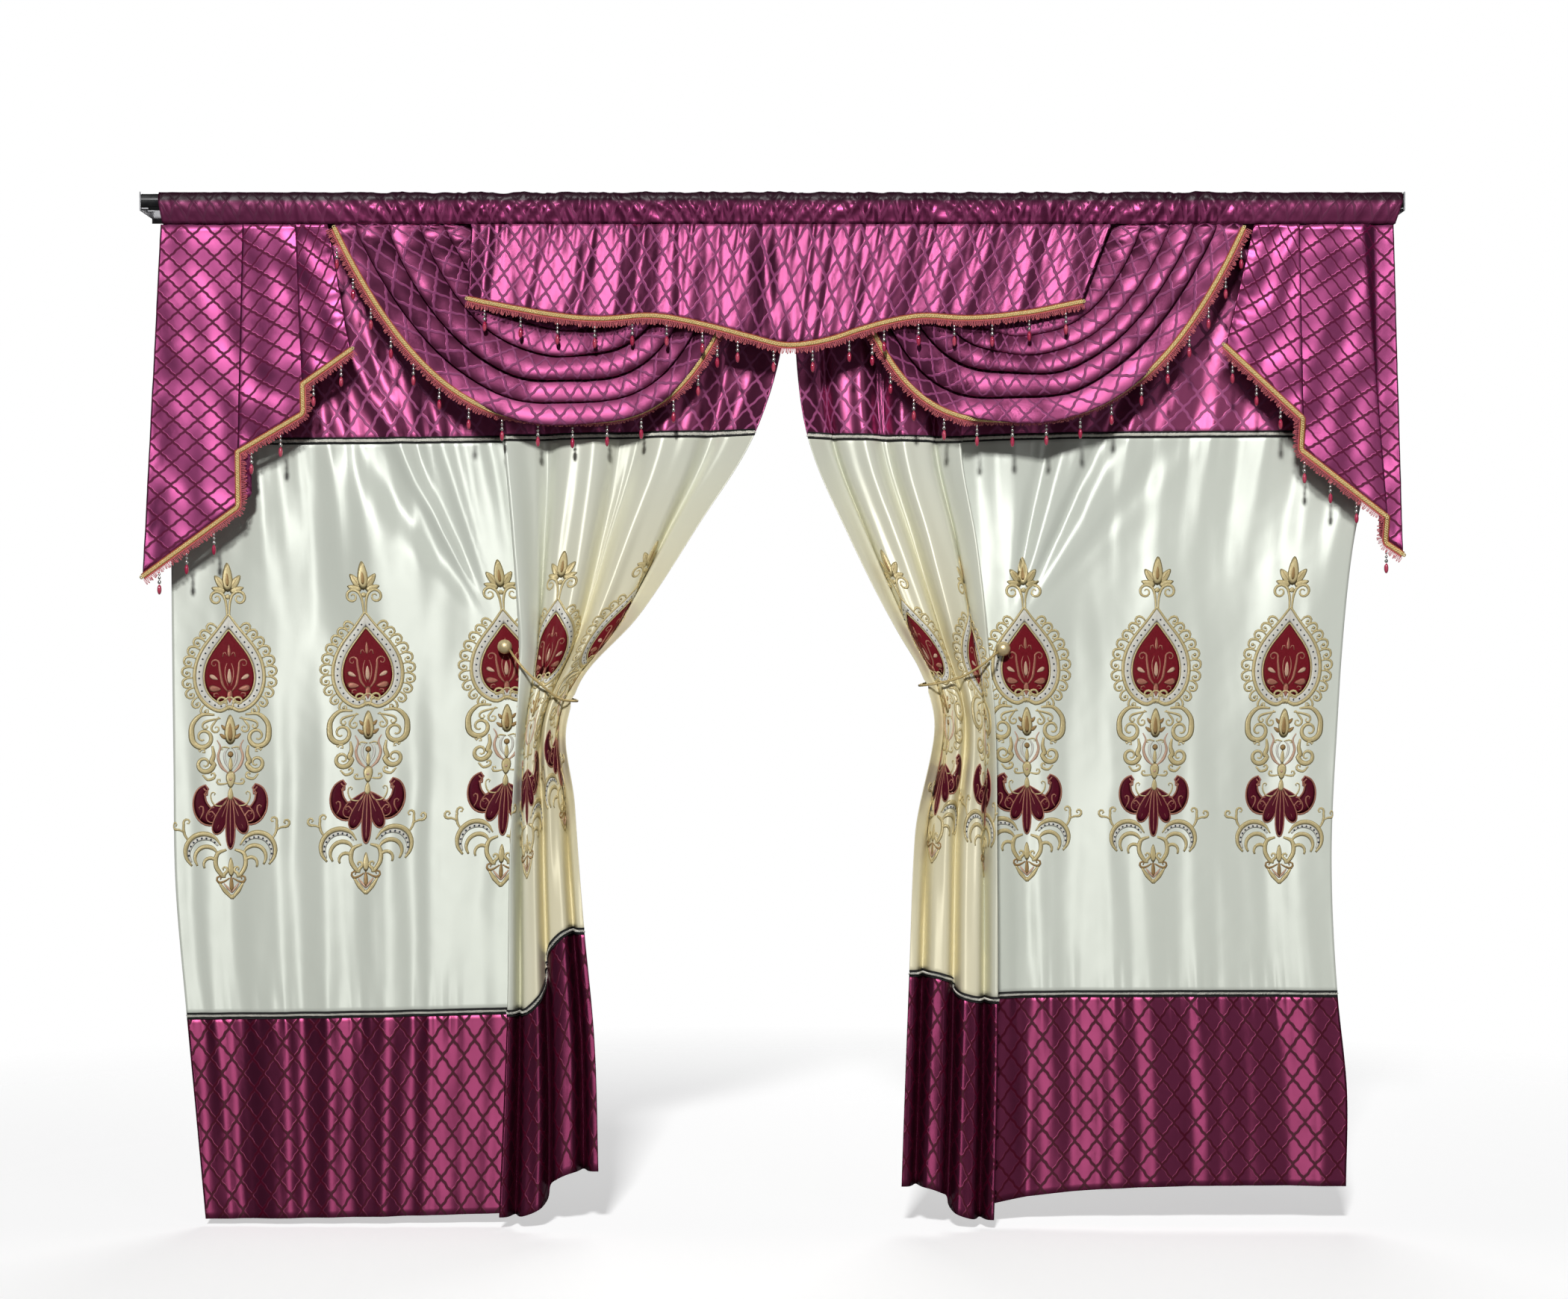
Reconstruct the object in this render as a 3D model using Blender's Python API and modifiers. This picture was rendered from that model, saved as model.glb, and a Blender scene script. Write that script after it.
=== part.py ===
"""A tied-back curtain pair with a swag valance, on a double curtain rod.

Two cream satin panels with plum bands hang on the rear rod, each drawn in by a cord with a ball at
each end. A plum valance of a rod-pocket heading, a skirt, two swags and two pleated tails hangs on the
front rod. Metres, +Z up. X runs to the right, the wall is the plane Y = 0 and the room is towards -Y.
The origin is the middle wall plate's centre, level with both rods.

The tables are in centimetres: x to the right of the origin, z down from the rods, y towards the wall.
"""

from collections import namedtuple

import bmesh
import bpy
import numpy as np
from mathutils import Vector

CM = 0.01
CLEARANCE = 0.0003
CLOTH_THICKNESS = 0.0015
BRAID_THICKNESS = 0.0020

# Rods and brackets, in metres
FRONT_ROD_Y = -0.145
FRONT_ROD_RADIUS = 0.016
REAR_ROD_Y = -0.070
REAR_ROD_RADIUS = 0.0125
ROD_LEFT = -1.492
ROD_RIGHT = 1.414
ROD_SIDES = 20
PLATE = 0.003
PLATE_LOW = -0.024
PLATE_HIGH = 0.019
FLANGE_WIDTH = 0.040
FLANGE_HEIGHT = 0.070
SHELF_LENGTH = 0.015
SHELF_WIDTH = 0.012
ARM_WIDTH = 0.012
ARM_DROP = 0.006
LIP_HEIGHT = 0.008

# Heading: how far the pockets hang below the rods, in centimetres
STITCH_Z = 5.4
HEADING_LEFT = -145.2
HEADING_RIGHT = 141.2
HEADING_TAPER = 0.8
HEADING_PUCKERS = 19
HEADING_COLUMNS = 38

# Panels, in centimetres of cloth
PANEL_WIDTH = 158.0
UPPER_SEAM = 49.0
LOWER_SEAM = 182.0
HEM = 229.0
BRAID_HALF = 0.6
SEAM_GAP = 0.3
FOLD_ROUNDING = 1.3
BUNDLE_FOLDS = 3
FLAT_WAVES = 3.5
PINCH_REACH = 8.0

# Valance, in centimetres
TOP_Z = 5.5
SKIRT_LEFT = -73.2
SKIRT_RIGHT = 74.2
SKIRT_FOLDS = 9
SWAG_PLEATS = 5
SWAG_ROUNDNESS = 2.5
TAIL_Y = -15.2
TAIL_TRIM_LEAD = 0.45

# Trim, in metres
TRIM_HEIGHT = 0.020
TRIM_THICKNESS = 0.0024
TRIM_GAP = 0.0035
DROP_ROOT = 0.003

# Tiebacks, in metres
CORD_RADIUS = 0.003
BALL_RADIUS = 0.017
CORD_POINTS = 26

Finish = namedtuple("Finish", "colour roughness metallic")
PLUM = Finish((0.30, 0.05, 0.20), 0.35, 0.0)
CREAM = Finish((0.86, 0.83, 0.70), 0.32, 0.0)
SEAM_BRAID = Finish((0.16, 0.15, 0.15), 0.45, 0.4)
GOLD_TRIM = Finish((0.62, 0.36, 0.12), 0.50, 0.3)
GOLD_CORD = Finish((0.70, 0.50, 0.20), 0.40, 0.2)
GOLD_BALL = Finish((0.72, 0.55, 0.26), 0.30, 0.9)
ROD_PAINT = Finish((0.05, 0.05, 0.055), 0.40, 0.6)
BRACKET_METAL = Finish((0.45, 0.45, 0.46), 0.35, 0.9)

# Half of a rod pocket's loop about its rod: y from the rod's centre, z below it
Loop = namedtuple("Loop", "turn y z")
FRONT_POCKET = (
    Loop(0, 0.45, 5.4),
    Loop(1, 1.85, 2.2),
    Loop(2, 1.95, 0.0),
    Loop(3, 1.40, -1.40),
    Loop(4, 0.00, -1.95),
    Loop(5, -1.40, -1.40),
    Loop(6, -1.95, 0.0),
    Loop(7, -1.95, 2.2),
    Loop(8, -0.75, 5.4),
)
REAR_POCKET = (
    Loop(0, 0.40, 5.2),
    Loop(1, 1.85, 1.6),
    Loop(2, 1.85, -0.3),
    Loop(3, 0.00, -1.9),
    Loop(4, -1.85, -0.3),
    Loop(5, -1.85, 1.6),
    Loop(6, -0.40, 5.2),
)

# A panel's section at each length of cloth below its pocket: the outer edge, the standing fold's
# front edge and the inner edge, how far the flat part runs on behind that fold, how far the drawn
# part stands in front of the flat part, and how deep its folds are
Level = namedtuple("Level", "down x_out z_out x_fold z_fold x_in z_in lap stand wave break_off")
LEFT_LEVELS = (
    Level(0, -144.9, 5.5, -70.5, 5.5, -0.9, 5.5, -3.6, 0.3, 0.25, 0),
    Level(25, -144.6, 30.6, -69.3, 30.5, -0.9, 30.4, -1.2, 1.4, 0.9, 0),
    Level(49, -144.4, 55.1, -66.8, 54.4, -7.4, 53.0, 1.2, 2.6, 1.5, 0),
    Level(75, -144.2, 80.6, -64.6, 79.6, -20.6, 74.6, 2.6, 3.6, 2.0, 0),
    Level(100, -144.0, 105.8, -63.2, 103.6, -34.4, 95.5, 3.6, 4.4, 2.4, 0),
    Level(124, -143.7, 130.0, -63.6, 126.0, -50.9, 114.6, 4.2, 4.8, 2.6, 0.2),
    Level(150, -143.3, 156.5, -65.0, 152.5, -49.4, 139.7, 4.2, 4.8, 2.6, 0.6),
    Level(182, -140.6, 188.8, -65.6, 187.4, -47.2, 168.6, 4.2, 4.6, 2.5, 1),
    Level(205, -138.4, 212.0, -66.6, 211.6, -44.8, 194.5, 4.2, 4.4, 2.5, 1),
    Level(229, -136.2, 236.0, -67.6, 234.6, -43.9, 224.3, 4.2, 4.2, 2.5, 1),
)
RIGHT_LEVELS = (
    Level(0, 140.1, 5.5, 44.6, 5.5, 0.9, 5.5, 6.0, 0.3, 0.25, 0),
    Level(25, 138.9, 30.3, 41.8, 30.4, 0.9, 30.4, 2.0, 1.4, 0.9, 0),
    Level(49, 136.8, 53.2, 40.2, 54.7, 3.8, 53.6, -1.4, 2.6, 1.5, 0),
    Level(75, 131.6, 79.0, 44.2, 79.4, 13.4, 77.0, -3.4, 3.6, 2.0, 0),
    Level(100, 129.0, 104.0, 46.8, 103.8, 25.2, 100.0, -4.6, 4.4, 2.4, 0),
    Level(114, 128.1, 118.2, 47.8, 117.4, 32.4, 111.2, -5.0, 4.8, 2.6, 0),
    Level(150, 126.6, 153.0, 48.6, 151.8, 28.8, 147.0, -5.4, 4.8, 2.6, 0.3),
    Level(182, 128.0, 183.6, 48.8, 184.4, 27.5, 178.4, -5.4, 4.6, 2.5, 1),
    Level(205, 130.2, 206.0, 48.6, 210.0, 26.6, 202.0, -5.4, 4.4, 2.5, 1),
    Level(229, 130.0, 228.4, 47.9, 235.2, 25.7, 227.8, -5.4, 4.2, 2.5, 1),
)

# Where a panel's cloth creases behind its standing fold and where it turns forward again, and the
# tie's two ends as the eye sees them
Panel = namedtuple("Panel", "side levels back front tie_x tie_z tie_x_in tie_z_in")
LEFT_PANEL = Panel("left", LEFT_LEVELS, 84.0, 88.0, -66.1, 102.8, -51.2, 115.4)
RIGHT_PANEL = Panel("right", RIGHT_LEVELS, 91.0, 97.0, 49.7, 103.3, 32.2, 111.8)

Edge = namedtuple("Edge", "x z")
SKIRT_EDGE = (
    Edge(-73.6, 22.6),
    Edge(-63.7, 24.6),
    Edge(-54.7, 26.2),
    Edge(-42.7, 27.2),
    Edge(-33.0, 26.4),
    Edge(-18.3, 28.8),
    Edge(-9.3, 31.2),
    Edge(0.2, 33.2),
    Edge(7.9, 32.2),
    Edge(16.9, 29.4),
    Edge(29.0, 26.6),
    Edge(41.1, 27.0),
    Edge(54.0, 25.8),
    Edge(67.2, 23.2),
)

# A swag: where its first and last folds meet the heading at the outer and inner ends, where it
# hangs deepest, and how deep its first fold and its hem hang
Swag = namedtuple("Swag", "side outer_first outer_last inner_first inner_last x_deep z_first z_last")
LEFT_SWAG = Swag("left", -74.0, -104.6, -33.0, -7.5, -51.0, 23.5, 50.8)
RIGHT_SWAG = Swag("right", 75.0, 104.4, 36.0, 10.5, 52.6, 23.5, 50.5)

# A pleated tail's cloth from its outer edge inwards: a row for each edge and crease
Crease = namedtuple("Crease", "across x_top x_low z_low y")
LEFT_TAIL = (
    Crease(0, -145.0, -149.2, 86.3, 0.20),
    Crease(22, -123.4, -123.6, 67.6, 0.30),
    Crease(26, -126.2, -127.4, 57.8, -0.55),
    Crease(41, -111.6, -110.6, 47.8, -0.10),
    Crease(44, -114.0, -112.4, 42.2, -0.95),
    Crease(57, -106.2, -100.9, 34.0, -0.80),
)
RIGHT_TAIL = (
    Crease(0, 139.4, 141.6, 81.2, 0.20),
    Crease(5, 134.6, 135.8, 77.2, 0.30),
    Crease(9, 132.1, 137.8, 72.8, -0.55),
    Crease(29, 114.8, 116.4, 55.6, -0.10),
    Crease(33, 117.6, 118.4, 50.2, -0.95),
    Crease(51, 107.0, 100.5, 33.0, -0.80),
)

# A bead drop: the length below its root at which each half width is reached, in metres
Bead = namedtuple("Bead", "down half")
DROP = (
    Bead(0.010, 0.0038),
    Bead(0.028, 0.0014),
    Bead(0.034, 0.0048),
    Bead(0.057, 0.0014),
)


def clear_scene():
    for scene_object in list(bpy.data.objects):
        bpy.data.objects.remove(scene_object, do_unlink=True)


def collection(name):
    made = bpy.data.collections.new(name)
    bpy.context.scene.collection.children.link(made)
    return made


def dress(part, finish):
    """Give a sub-part a material of its own."""
    material = bpy.data.materials.new(part.name + "_material")
    material.use_nodes = True
    shader = material.node_tree.nodes["Principled BSDF"]
    shader.inputs["Base Color"].default_value = (*finish.colour, 1.0)
    shader.inputs["Roughness"].default_value = finish.roughness
    shader.inputs["Metallic"].default_value = finish.metallic
    part.data.materials.append(material)


def add_mesh(name, bm, finish, group):
    mesh = bpy.data.meshes.new(name)
    bm.to_mesh(mesh)
    bm.free()
    part = bpy.data.objects.new(name, mesh)
    group.objects.link(part)
    if finish:
        dress(part, finish)
    return part


def smooth(rows, column, where):
    """A column of a table at `where` in its first column, on a smooth curve through the rows."""
    known = np.array([row[0] for row in rows], float)
    value = np.array([getattr(row, column) for row in rows], float)
    slope = np.gradient(value, known)
    left = np.clip(np.searchsorted(known, where) - 1, 0, len(known) - 2)
    gap = known[left + 1] - known[left]
    f = (where - known[left]) / gap
    rise = 3 * f**2 - 2 * f**3
    return (
        value[left] * (1 - rise)
        + value[left + 1] * rise
        + gap * slope[left] * (f**3 - 2 * f**2 + f)
        + gap * slope[left + 1] * (f**3 - f**2)
    )


def straight(rows, column, where):
    """A column of a table at `where` in its first column, on straight runs between the rows."""
    return np.interp(where, [row[0] for row in rows], [getattr(row, column) for row in rows])


def rounded(shape, across, reach):
    """A folded line with its creases rounded: the mean of a few points either side of each."""
    return sum(shape(across + reach * step) for step in (-1.0, -0.5, 0.0, 0.5, 1.0)) / 5


def ease(f):
    f = np.clip(f, 0, 1)
    return f * f * (3 - 2 * f)


def panel_point(panel, across, down):
    """Where a panel's cloth is: `across` from the outer edge and `down` from the pocket, both arrays."""
    level = {name: smooth(panel.levels, name, down) for name in Level._fields[1:]}

    def sideways(u):
        flat = np.clip(u / panel.back, 0, 1)
        turn = np.clip((u - panel.back) / (panel.front - panel.back), 0, 1)
        drawn = np.clip((u - panel.front) / (PANEL_WIDTH - panel.front), 0, 1)
        crease = level["x_fold"] + level["lap"]
        return (
            level["x_out"]
            + (crease - level["x_out"]) * flat
            - level["lap"] * turn
            + (level["x_in"] - level["x_fold"]) * drawn
        )

    drawn = np.clip((across - panel.front) / (PANEL_WIDTH - panel.front), 0, 1)
    step = ease((drawn - 0.25) / 0.5)
    fall = drawn + (step - drawn) * np.clip(level["break_off"], 0, 1)
    before = np.clip(across / panel.front, 0, 1) ** 1.5
    z = (
        level["z_out"]
        + (level["z_fold"] - level["z_out"]) * before
        + (level["z_in"] - level["z_fold"]) * fall
    )
    x = rounded(sideways, across, FOLD_ROUNDING)

    along = np.clip((x - panel.tie_x) / (panel.tie_x_in - panel.tie_x), 0, 1)
    tie_z = panel.tie_z + (panel.tie_z_in - panel.tie_z) * along
    pinch = np.exp(-(((z - tie_z) / PINCH_REACH) ** 2))
    stand = level["stand"] * (1 - 0.25 * pinch)
    wave = level["wave"] * (1 - 0.4 * pinch)

    def outwards(u):
        flat = np.clip(u / panel.back, 0, 1)
        turn = np.clip((u - panel.back) / (panel.front - panel.back), 0, 1)
        folded = np.clip((u - panel.front) / (PANEL_WIDTH - panel.front), 0, 1)
        sway = 0.28 * level["wave"] * np.sin(2 * np.pi * FLAT_WAVES * flat) * (1 - flat**4)
        fold = wave * np.cos(2 * np.pi * BUNDLE_FOLDS * folded)
        rest = 0.2 * level["stand"] * flat**2 + sway
        drawn_part = -stand * (1 - 0.55 * folded**1.5) - fold
        return rest * (1 - turn) + drawn_part * turn

    y = REAR_ROD_Y / CM + rounded(outwards, across, FOLD_ROUNDING)
    return x, y, z


def pocket_point(panel, across, turn):
    """The same cloth where it goes round the rear rod, `turn` of the way through the loop's rows."""
    x, _, _ = panel_point(panel, across, np.zeros_like(across))
    y = REAR_ROD_Y / CM + smooth(REAR_POCKET, "y", turn)
    return x, y, smooth(REAR_POCKET, "z", turn)


def heading_point(along, turn):
    """The valance's pocket round the front rod, puckered along its lower half."""
    low = np.clip(smooth(FRONT_POCKET, "z", turn) / STITCH_Z, 0, 1)
    left = HEADING_LEFT + HEADING_TAPER * low
    right = HEADING_RIGHT - 2 * HEADING_TAPER * low
    phase = 2 * np.pi * (HEADING_PUCKERS * along + 0.6 * np.sin(9 * along))
    pucker = 0.16 * np.sin(phase) * (1 - low)
    y = smooth(FRONT_POCKET, "y", turn)
    z = smooth(FRONT_POCKET, "z", turn)
    grow = 1 + pucker / 2
    return left + (right - left) * along, FRONT_ROD_Y / CM + y * grow, z + pucker * low


def skirt_point(along, down):
    x_low = SKIRT_EDGE[0].x + (SKIRT_EDGE[-1].x - SKIRT_EDGE[0].x) * along
    x_top = SKIRT_LEFT + (SKIRT_RIGHT - SKIRT_LEFT) * along
    z = TOP_Z + (smooth(SKIRT_EDGE, "z", x_low) - TOP_Z) * down
    fold = (0.3 + 0.5 * down) * np.cos(2 * np.pi * SKIRT_FOLDS * along)
    y = -15.9 - 3.4 * down**1.3 - fold
    return x_top + (x_low - x_top) * down, y, z


def swag_point(swag, across, along):
    """`across` the folds from the first to the hem, `along` them from the outer end to the inner."""
    outer = swag.outer_first + (swag.outer_last - swag.outer_first) * across
    inner = swag.inner_first + (swag.inner_last - swag.inner_first) * across
    sweep = -np.cos(np.pi * along)
    x = swag.x_deep + np.where(sweep < 0, swag.x_deep - outer, inner - swag.x_deep) * sweep
    deep = swag.z_first + (swag.z_last - swag.z_first) * across
    z = TOP_Z + (deep - TOP_Z) * (1 - np.abs(sweep) ** SWAG_ROUNDNESS)
    body = np.sin(np.pi * np.clip(along, 0, 1))
    base = -14.3 + 1.1 * along - across * (2.2 * (1 - along) + 1.9 * body)
    fold = (0.35 + 0.65 * body) * np.sin(2 * np.pi * (SWAG_PLEATS * across - 0.25))
    return x, base + fold * (1 - 0.5 * across**6), z


def tail_point(creases, across, down):
    """A pleated tail's cloth, `across` it from its outer edge and `down` it from 0 to 1."""

    def column(name):
        return rounded(lambda u: straight(creases, name, u), across, 0.5)

    x_top = column("x_top")
    x_low = column("x_low")
    z = TOP_Z + (column("z_low") - TOP_Z) * down
    ripple = 0.15 * down * np.sin(0.9 * across)
    return x_top + (x_low - x_top) * down, TAIL_Y + column("y") * (0.6 + 0.4 * down) + ripple, z


def tail_hem(creases):
    """The corners of a tail's stepped hem that show from the front, a little before the cloth."""
    outer, back_one, front_one, back_two, front_two, inner = creases
    corners = [(outer.x_low, outer.z_low, outer.y)]
    for start, end, front in ((outer, back_one, front_one), (front_one, back_two, front_two)):
        part = (front.x_low - start.x_low) / (end.x_low - start.x_low)
        z = start.z_low + (end.z_low - start.z_low) * part
        corners.append((front.x_low, z, start.y + (end.y - start.y) * part))
        corners.append((front.x_low, front.z_low, front.y))
    corners.append((inner.x_low, inner.z_low, inner.y))
    return [(x, TAIL_Y - TAIL_TRIM_LEAD + y, z) for x, z, y in corners]


def bent_line(corners):
    """A line through corners: its place and the way across it, at a fraction, and the corners' own."""
    line = np.array(corners)
    steps = np.diff(line, axis=0)
    run = np.concatenate([[0], np.cumsum(np.linalg.norm(steps, axis=1))])
    share = run / run[-1]
    turn = np.sign(line[-1, 0] - line[0, 0])
    square = [(-z * turn / np.hypot(x, z), x * turn / np.hypot(x, z)) for x, _, z in steps]
    mitres = [square[0]]
    for one, two in zip(square, square[1:]):
        middle = np.add(one, two)
        mitres.append(tuple(middle * 2 / np.dot(middle, middle)))
    mitres.append(square[-1])

    def place(f):
        return tuple(np.interp(f, share, line[:, k]) for k in range(3))

    def outward(f):
        ways = []
        for one in f:
            nearest = int(np.abs(share - one).argmin())
            on_corner = abs(share[nearest] - one) < 1e-6
            run_index = min(int(np.searchsorted(share, one)), len(square)) - 1
            ways.append(mitres[nearest] if on_corner else square[max(run_index, 0)])
        return tuple(np.array(ways).T)

    return place, outward, share


def add_sheet(name, point, columns, rows, thickness, finish, group):
    """Cloth: a flat grid bent to its hung shape and given its thickness."""
    last_column = len(columns) - 1
    last_row = len(rows) - 1
    bm = bmesh.new()
    bmesh.ops.create_grid(bm, x_segments=last_column, y_segments=last_row, size=0.5)
    column = [round((vertex.co.x + 0.5) * last_column) for vertex in bm.verts]
    row = [round((vertex.co.y + 0.5) * last_row) for vertex in bm.verts]
    x, y, z = point(np.array(columns, float)[column], np.array(rows, float)[row])
    for vertex, place in zip(bm.verts, zip(x, y, z)):
        vertex.co = Vector((place[0], place[1], -place[2])) * CM
    sheet = add_mesh(name, bm, finish, group)
    solidify = sheet.modifiers.new("Thickness", "SOLIDIFY")
    solidify.thickness = thickness
    solidify.offset = 0
    return sheet


def panel_columns(panel):
    """Where a panel's grid lines stand: evenly in the flat part, close together round the fold."""
    flat = np.linspace(0, panel.back - 1.5, 12)
    turn = (panel.back + 0.4, (panel.back + panel.front) / 2, panel.front - 0.4)
    drawn = np.linspace(panel.front + 1.5, PANEL_WIDTH, 17)
    return [*flat, *turn, *drawn]


def add_panel(panel, group):
    columns = panel_columns(panel)
    gap = SEAM_GAP
    upper = UPPER_SEAM - BRAID_HALF
    lower = LOWER_SEAM - BRAID_HALF

    def cloth(across, down):
        return panel_point(panel, across, down)

    def band(across, row):
        """Rows up to 6 go round the rod, and later ones down the cloth."""
        round_rod = pocket_point(panel, across, np.clip(row, 0, 6))
        hanging = cloth(across, np.clip(row - 6, 0, None))
        return tuple(np.where(row <= 6, *pair) for pair in zip(round_rod, hanging))

    name = "panel_" + panel.side
    band_rows = [*range(7), 6 + 16, 6 + 32, 6 + upper - gap]
    add_sheet(name + "_top_band", band, columns, band_rows, CLOTH_THICKNESS, PLUM, group)
    add_sheet(
        name + "_upper_braid",
        cloth,
        columns,
        [upper, UPPER_SEAM + BRAID_HALF],
        BRAID_THICKNESS,
        SEAM_BRAID,
        group,
    )
    cream_rows = np.linspace(UPPER_SEAM + BRAID_HALF + gap, lower - gap, 12)
    add_sheet(name + "_cream", cloth, columns, cream_rows, CLOTH_THICKNESS, CREAM, group)
    add_sheet(
        name + "_lower_braid",
        cloth,
        columns,
        [lower, LOWER_SEAM + BRAID_HALF],
        BRAID_THICKNESS,
        SEAM_BRAID,
        group,
    )
    hem_rows = np.linspace(LOWER_SEAM + BRAID_HALF + gap, HEM, 4)
    add_sheet(name + "_bottom_band", cloth, columns, hem_rows, CLOTH_THICKNESS, PLUM, group)


def bead_marks(length, spacing):
    """Places for the bead drops along an edge, evenly, half a space from each end."""
    count = max(1, round(length / spacing))
    return (np.arange(count) + 0.5) * length / count


def add_trim(name, edge, outward, spacing, group, corners=(), bare=()):
    """A braid along an edge, with bead drops drawn out of its lower face.

    `edge` gives the cloth's edge and `outward` the way across the braid, at a fraction of its run.
    `corners` are fractions where it turns, and `bare` are spans of it without drops.
    """
    fine = np.linspace(0, 1, 401)
    line = np.stack(edge(fine), axis=1)
    run = np.concatenate([[0], np.cumsum(np.linalg.norm(np.diff(line, axis=0), axis=1))]) * CM
    marks = bead_marks(run[-1], spacing)
    for start, end in np.interp(bare, fine, run) if bare else ():
        marks = marks[(marks < start - DROP_ROOT * 2) | (marks > end + DROP_ROOT * 2)]
    bends = np.interp(corners, fine, run)
    bends = [bend for bend in bends if np.abs(marks - bend).min() > DROP_ROOT * 1.5]
    stations = sorted([0, run[-1], *bends, *(marks - DROP_ROOT), *(marks + DROP_ROOT)])
    where = np.interp(stations, run, fine)
    points = np.stack(edge(where), axis=1)
    ways = np.stack(outward(where), axis=1)

    bm = bmesh.new()
    rings = []
    for point, way in zip(points, ways):
        place = Vector((point[0], point[1], -point[2])) * CM
        side = Vector((way[0], 0, -way[1]))
        front = Vector((0, -TRIM_THICKNESS / 2, 0))
        inner = place + side * TRIM_GAP
        outer = inner + side * TRIM_HEIGHT
        corners = (inner + front, outer + front, outer - front, inner - front)
        rings.append([bm.verts.new(corner) for corner in corners])
    roots = []
    for middle, one, two in zip(np.add(stations[1:], stations[:-1]) / 2, rings, rings[1:]):
        for k in range(4):
            face = bm.faces.new((one[k], one[(k + 1) % 4], two[(k + 1) % 4], two[k]))
            if k == 1 and np.abs(marks - middle).min() < CLEARANCE:
                roots.append(face)
    bm.faces.new(reversed(rings[0]))
    bm.faces.new(rings[-1])
    bmesh.ops.recalc_face_normals(bm, faces=bm.faces)

    for root in roots:
        centre = root.calc_center_median()
        for bead in DROP:
            root = bmesh.ops.extrude_discrete_faces(bm, faces=[root])["faces"][0]
            middle = root.calc_center_median()
            for vertex in root.verts:
                right = 1 if vertex.co.x > middle.x else -1
                back = 1 if vertex.co.y > middle.y else -1
                vertex.co = centre + Vector((right * bead.half, back * bead.half, -bead.down))
    return add_mesh(name, bm, GOLD_TRIM, group)


def unit(x, z):
    length = np.hypot(x, z)
    return x / length, z / length


def swag_outward(swag):
    """The way across a swag's braid: square to its hem, in the plane of the wall."""

    def outward(along):
        before = swag_point(swag, np.ones_like(along), np.clip(along - 0.004, 0, 1))
        after = swag_point(swag, np.ones_like(along), np.clip(along + 0.004, 0, 1))
        x, z = unit(after[0] - before[0], after[2] - before[2])
        turn = np.sign(swag.x_deep - swag.outer_last)
        return -z * turn, x * turn

    return outward


def straight_down(along):
    return np.zeros_like(along), np.ones_like(along)


def add_valance(group):
    along = np.linspace(0, 1, HEADING_COLUMNS + 1)
    turns = range(len(FRONT_POCKET))
    add_sheet("valance_heading", heading_point, along, turns, CLOTH_THICKNESS, PLUM, group)

    skirt_columns = np.linspace(0, 1, 4 * SKIRT_FOLDS + 1)
    add_sheet(
        "valance_skirt", skirt_point, skirt_columns, np.linspace(0, 1, 5), CLOTH_THICKNESS, PLUM, group
    )
    add_trim("trim_skirt", lambda a: skirt_point(a, np.ones_like(a)), straight_down, 0.083, group)

    for swag in (LEFT_SWAG, RIGHT_SWAG):
        add_sheet(
            "swag_" + swag.side,
            lambda across, run, swag=swag: swag_point(swag, across, run),
            np.linspace(0, 1, 3 * SWAG_PLEATS + 1),
            np.linspace(0, 1, 15),
            CLOTH_THICKNESS,
            PLUM,
            group,
        )
        add_trim(
            "trim_swag_" + swag.side,
            lambda a, swag=swag: swag_point(swag, np.ones_like(a), 0.04 + 0.92 * a),
            lambda a, swag=swag: swag_outward(swag)(0.04 + 0.92 * a),
            0.078,
            group,
        )

    for side, creases in (("left", LEFT_TAIL), ("right", RIGHT_TAIL)):
        width = creases[-1].across
        marks = [row.across for row in creases]
        columns = sorted({*marks, *np.linspace(0, width, 9).round(1)})
        add_sheet(
            "tail_" + side,
            lambda across, down, creases=creases: tail_point(creases, across, down),
            columns,
            np.linspace(0, 1, 6),
            CLOTH_THICKNESS,
            PLUM,
            group,
        )
        place, outward, share = bent_line(tail_hem(creases))
        steps = [(share[1], share[2]), (share[3], share[4])]
        add_trim("trim_tail_" + side, place, outward, 0.075, group, share[1:-1], steps)


def tie_route(panel):
    """A tie's route in metres: over the drawn part's front, round its inner edge and back behind."""
    inward = 1 if panel.tie_x_in > panel.tie_x else -1
    ball = BALL_RADIUS / CM
    gap = panel.tie_z_in - panel.tie_z
    x_in = panel.tie_x_in
    route = (
        (panel.tie_x + inward * (ball + 0.1) * 0.75, -9.6, panel.tie_z + ball * 0.5),
        (panel.tie_x + inward * 2.4, -12.6, panel.tie_z + gap * 0.17),
        (panel.tie_x + inward * 5.0, -13.8, panel.tie_z + gap * 0.42),
        (panel.tie_x + inward * 9.5, -13.6, panel.tie_z + gap * 0.74),
        (x_in - inward * 1.8, -12.4, panel.tie_z_in - 0.5),
        (x_in + inward * 1.9, -10.2, panel.tie_z_in),
        (x_in + inward * 1.4, -7.0, panel.tie_z_in - 0.2),
        (x_in - inward * 2.4, -4.6, panel.tie_z_in - 1.4),
        (panel.tie_x + inward * 7.5, -3.6, panel.tie_z + gap * 0.5),
        (panel.tie_x + inward * (ball + 0.15), -3.4, panel.tie_z + 0.6),
    )
    return [Vector((x, y, -z)) * CM for x, y, z in route]


def smooth_route(points, count):
    """Points spaced evenly along a smooth curve through a route's own points."""
    run = [0.0]
    for one, two in zip(points, points[1:]):
        run.append(run[-1] + (two - one).length)
    Place = namedtuple("Place", "run x y z")
    rows = [Place(length, *point) for length, point in zip(run, points)]
    where = np.linspace(0, run[-1], count)
    return np.stack([smooth(rows, axis, where) for axis in "xyz"], axis=1)


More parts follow.
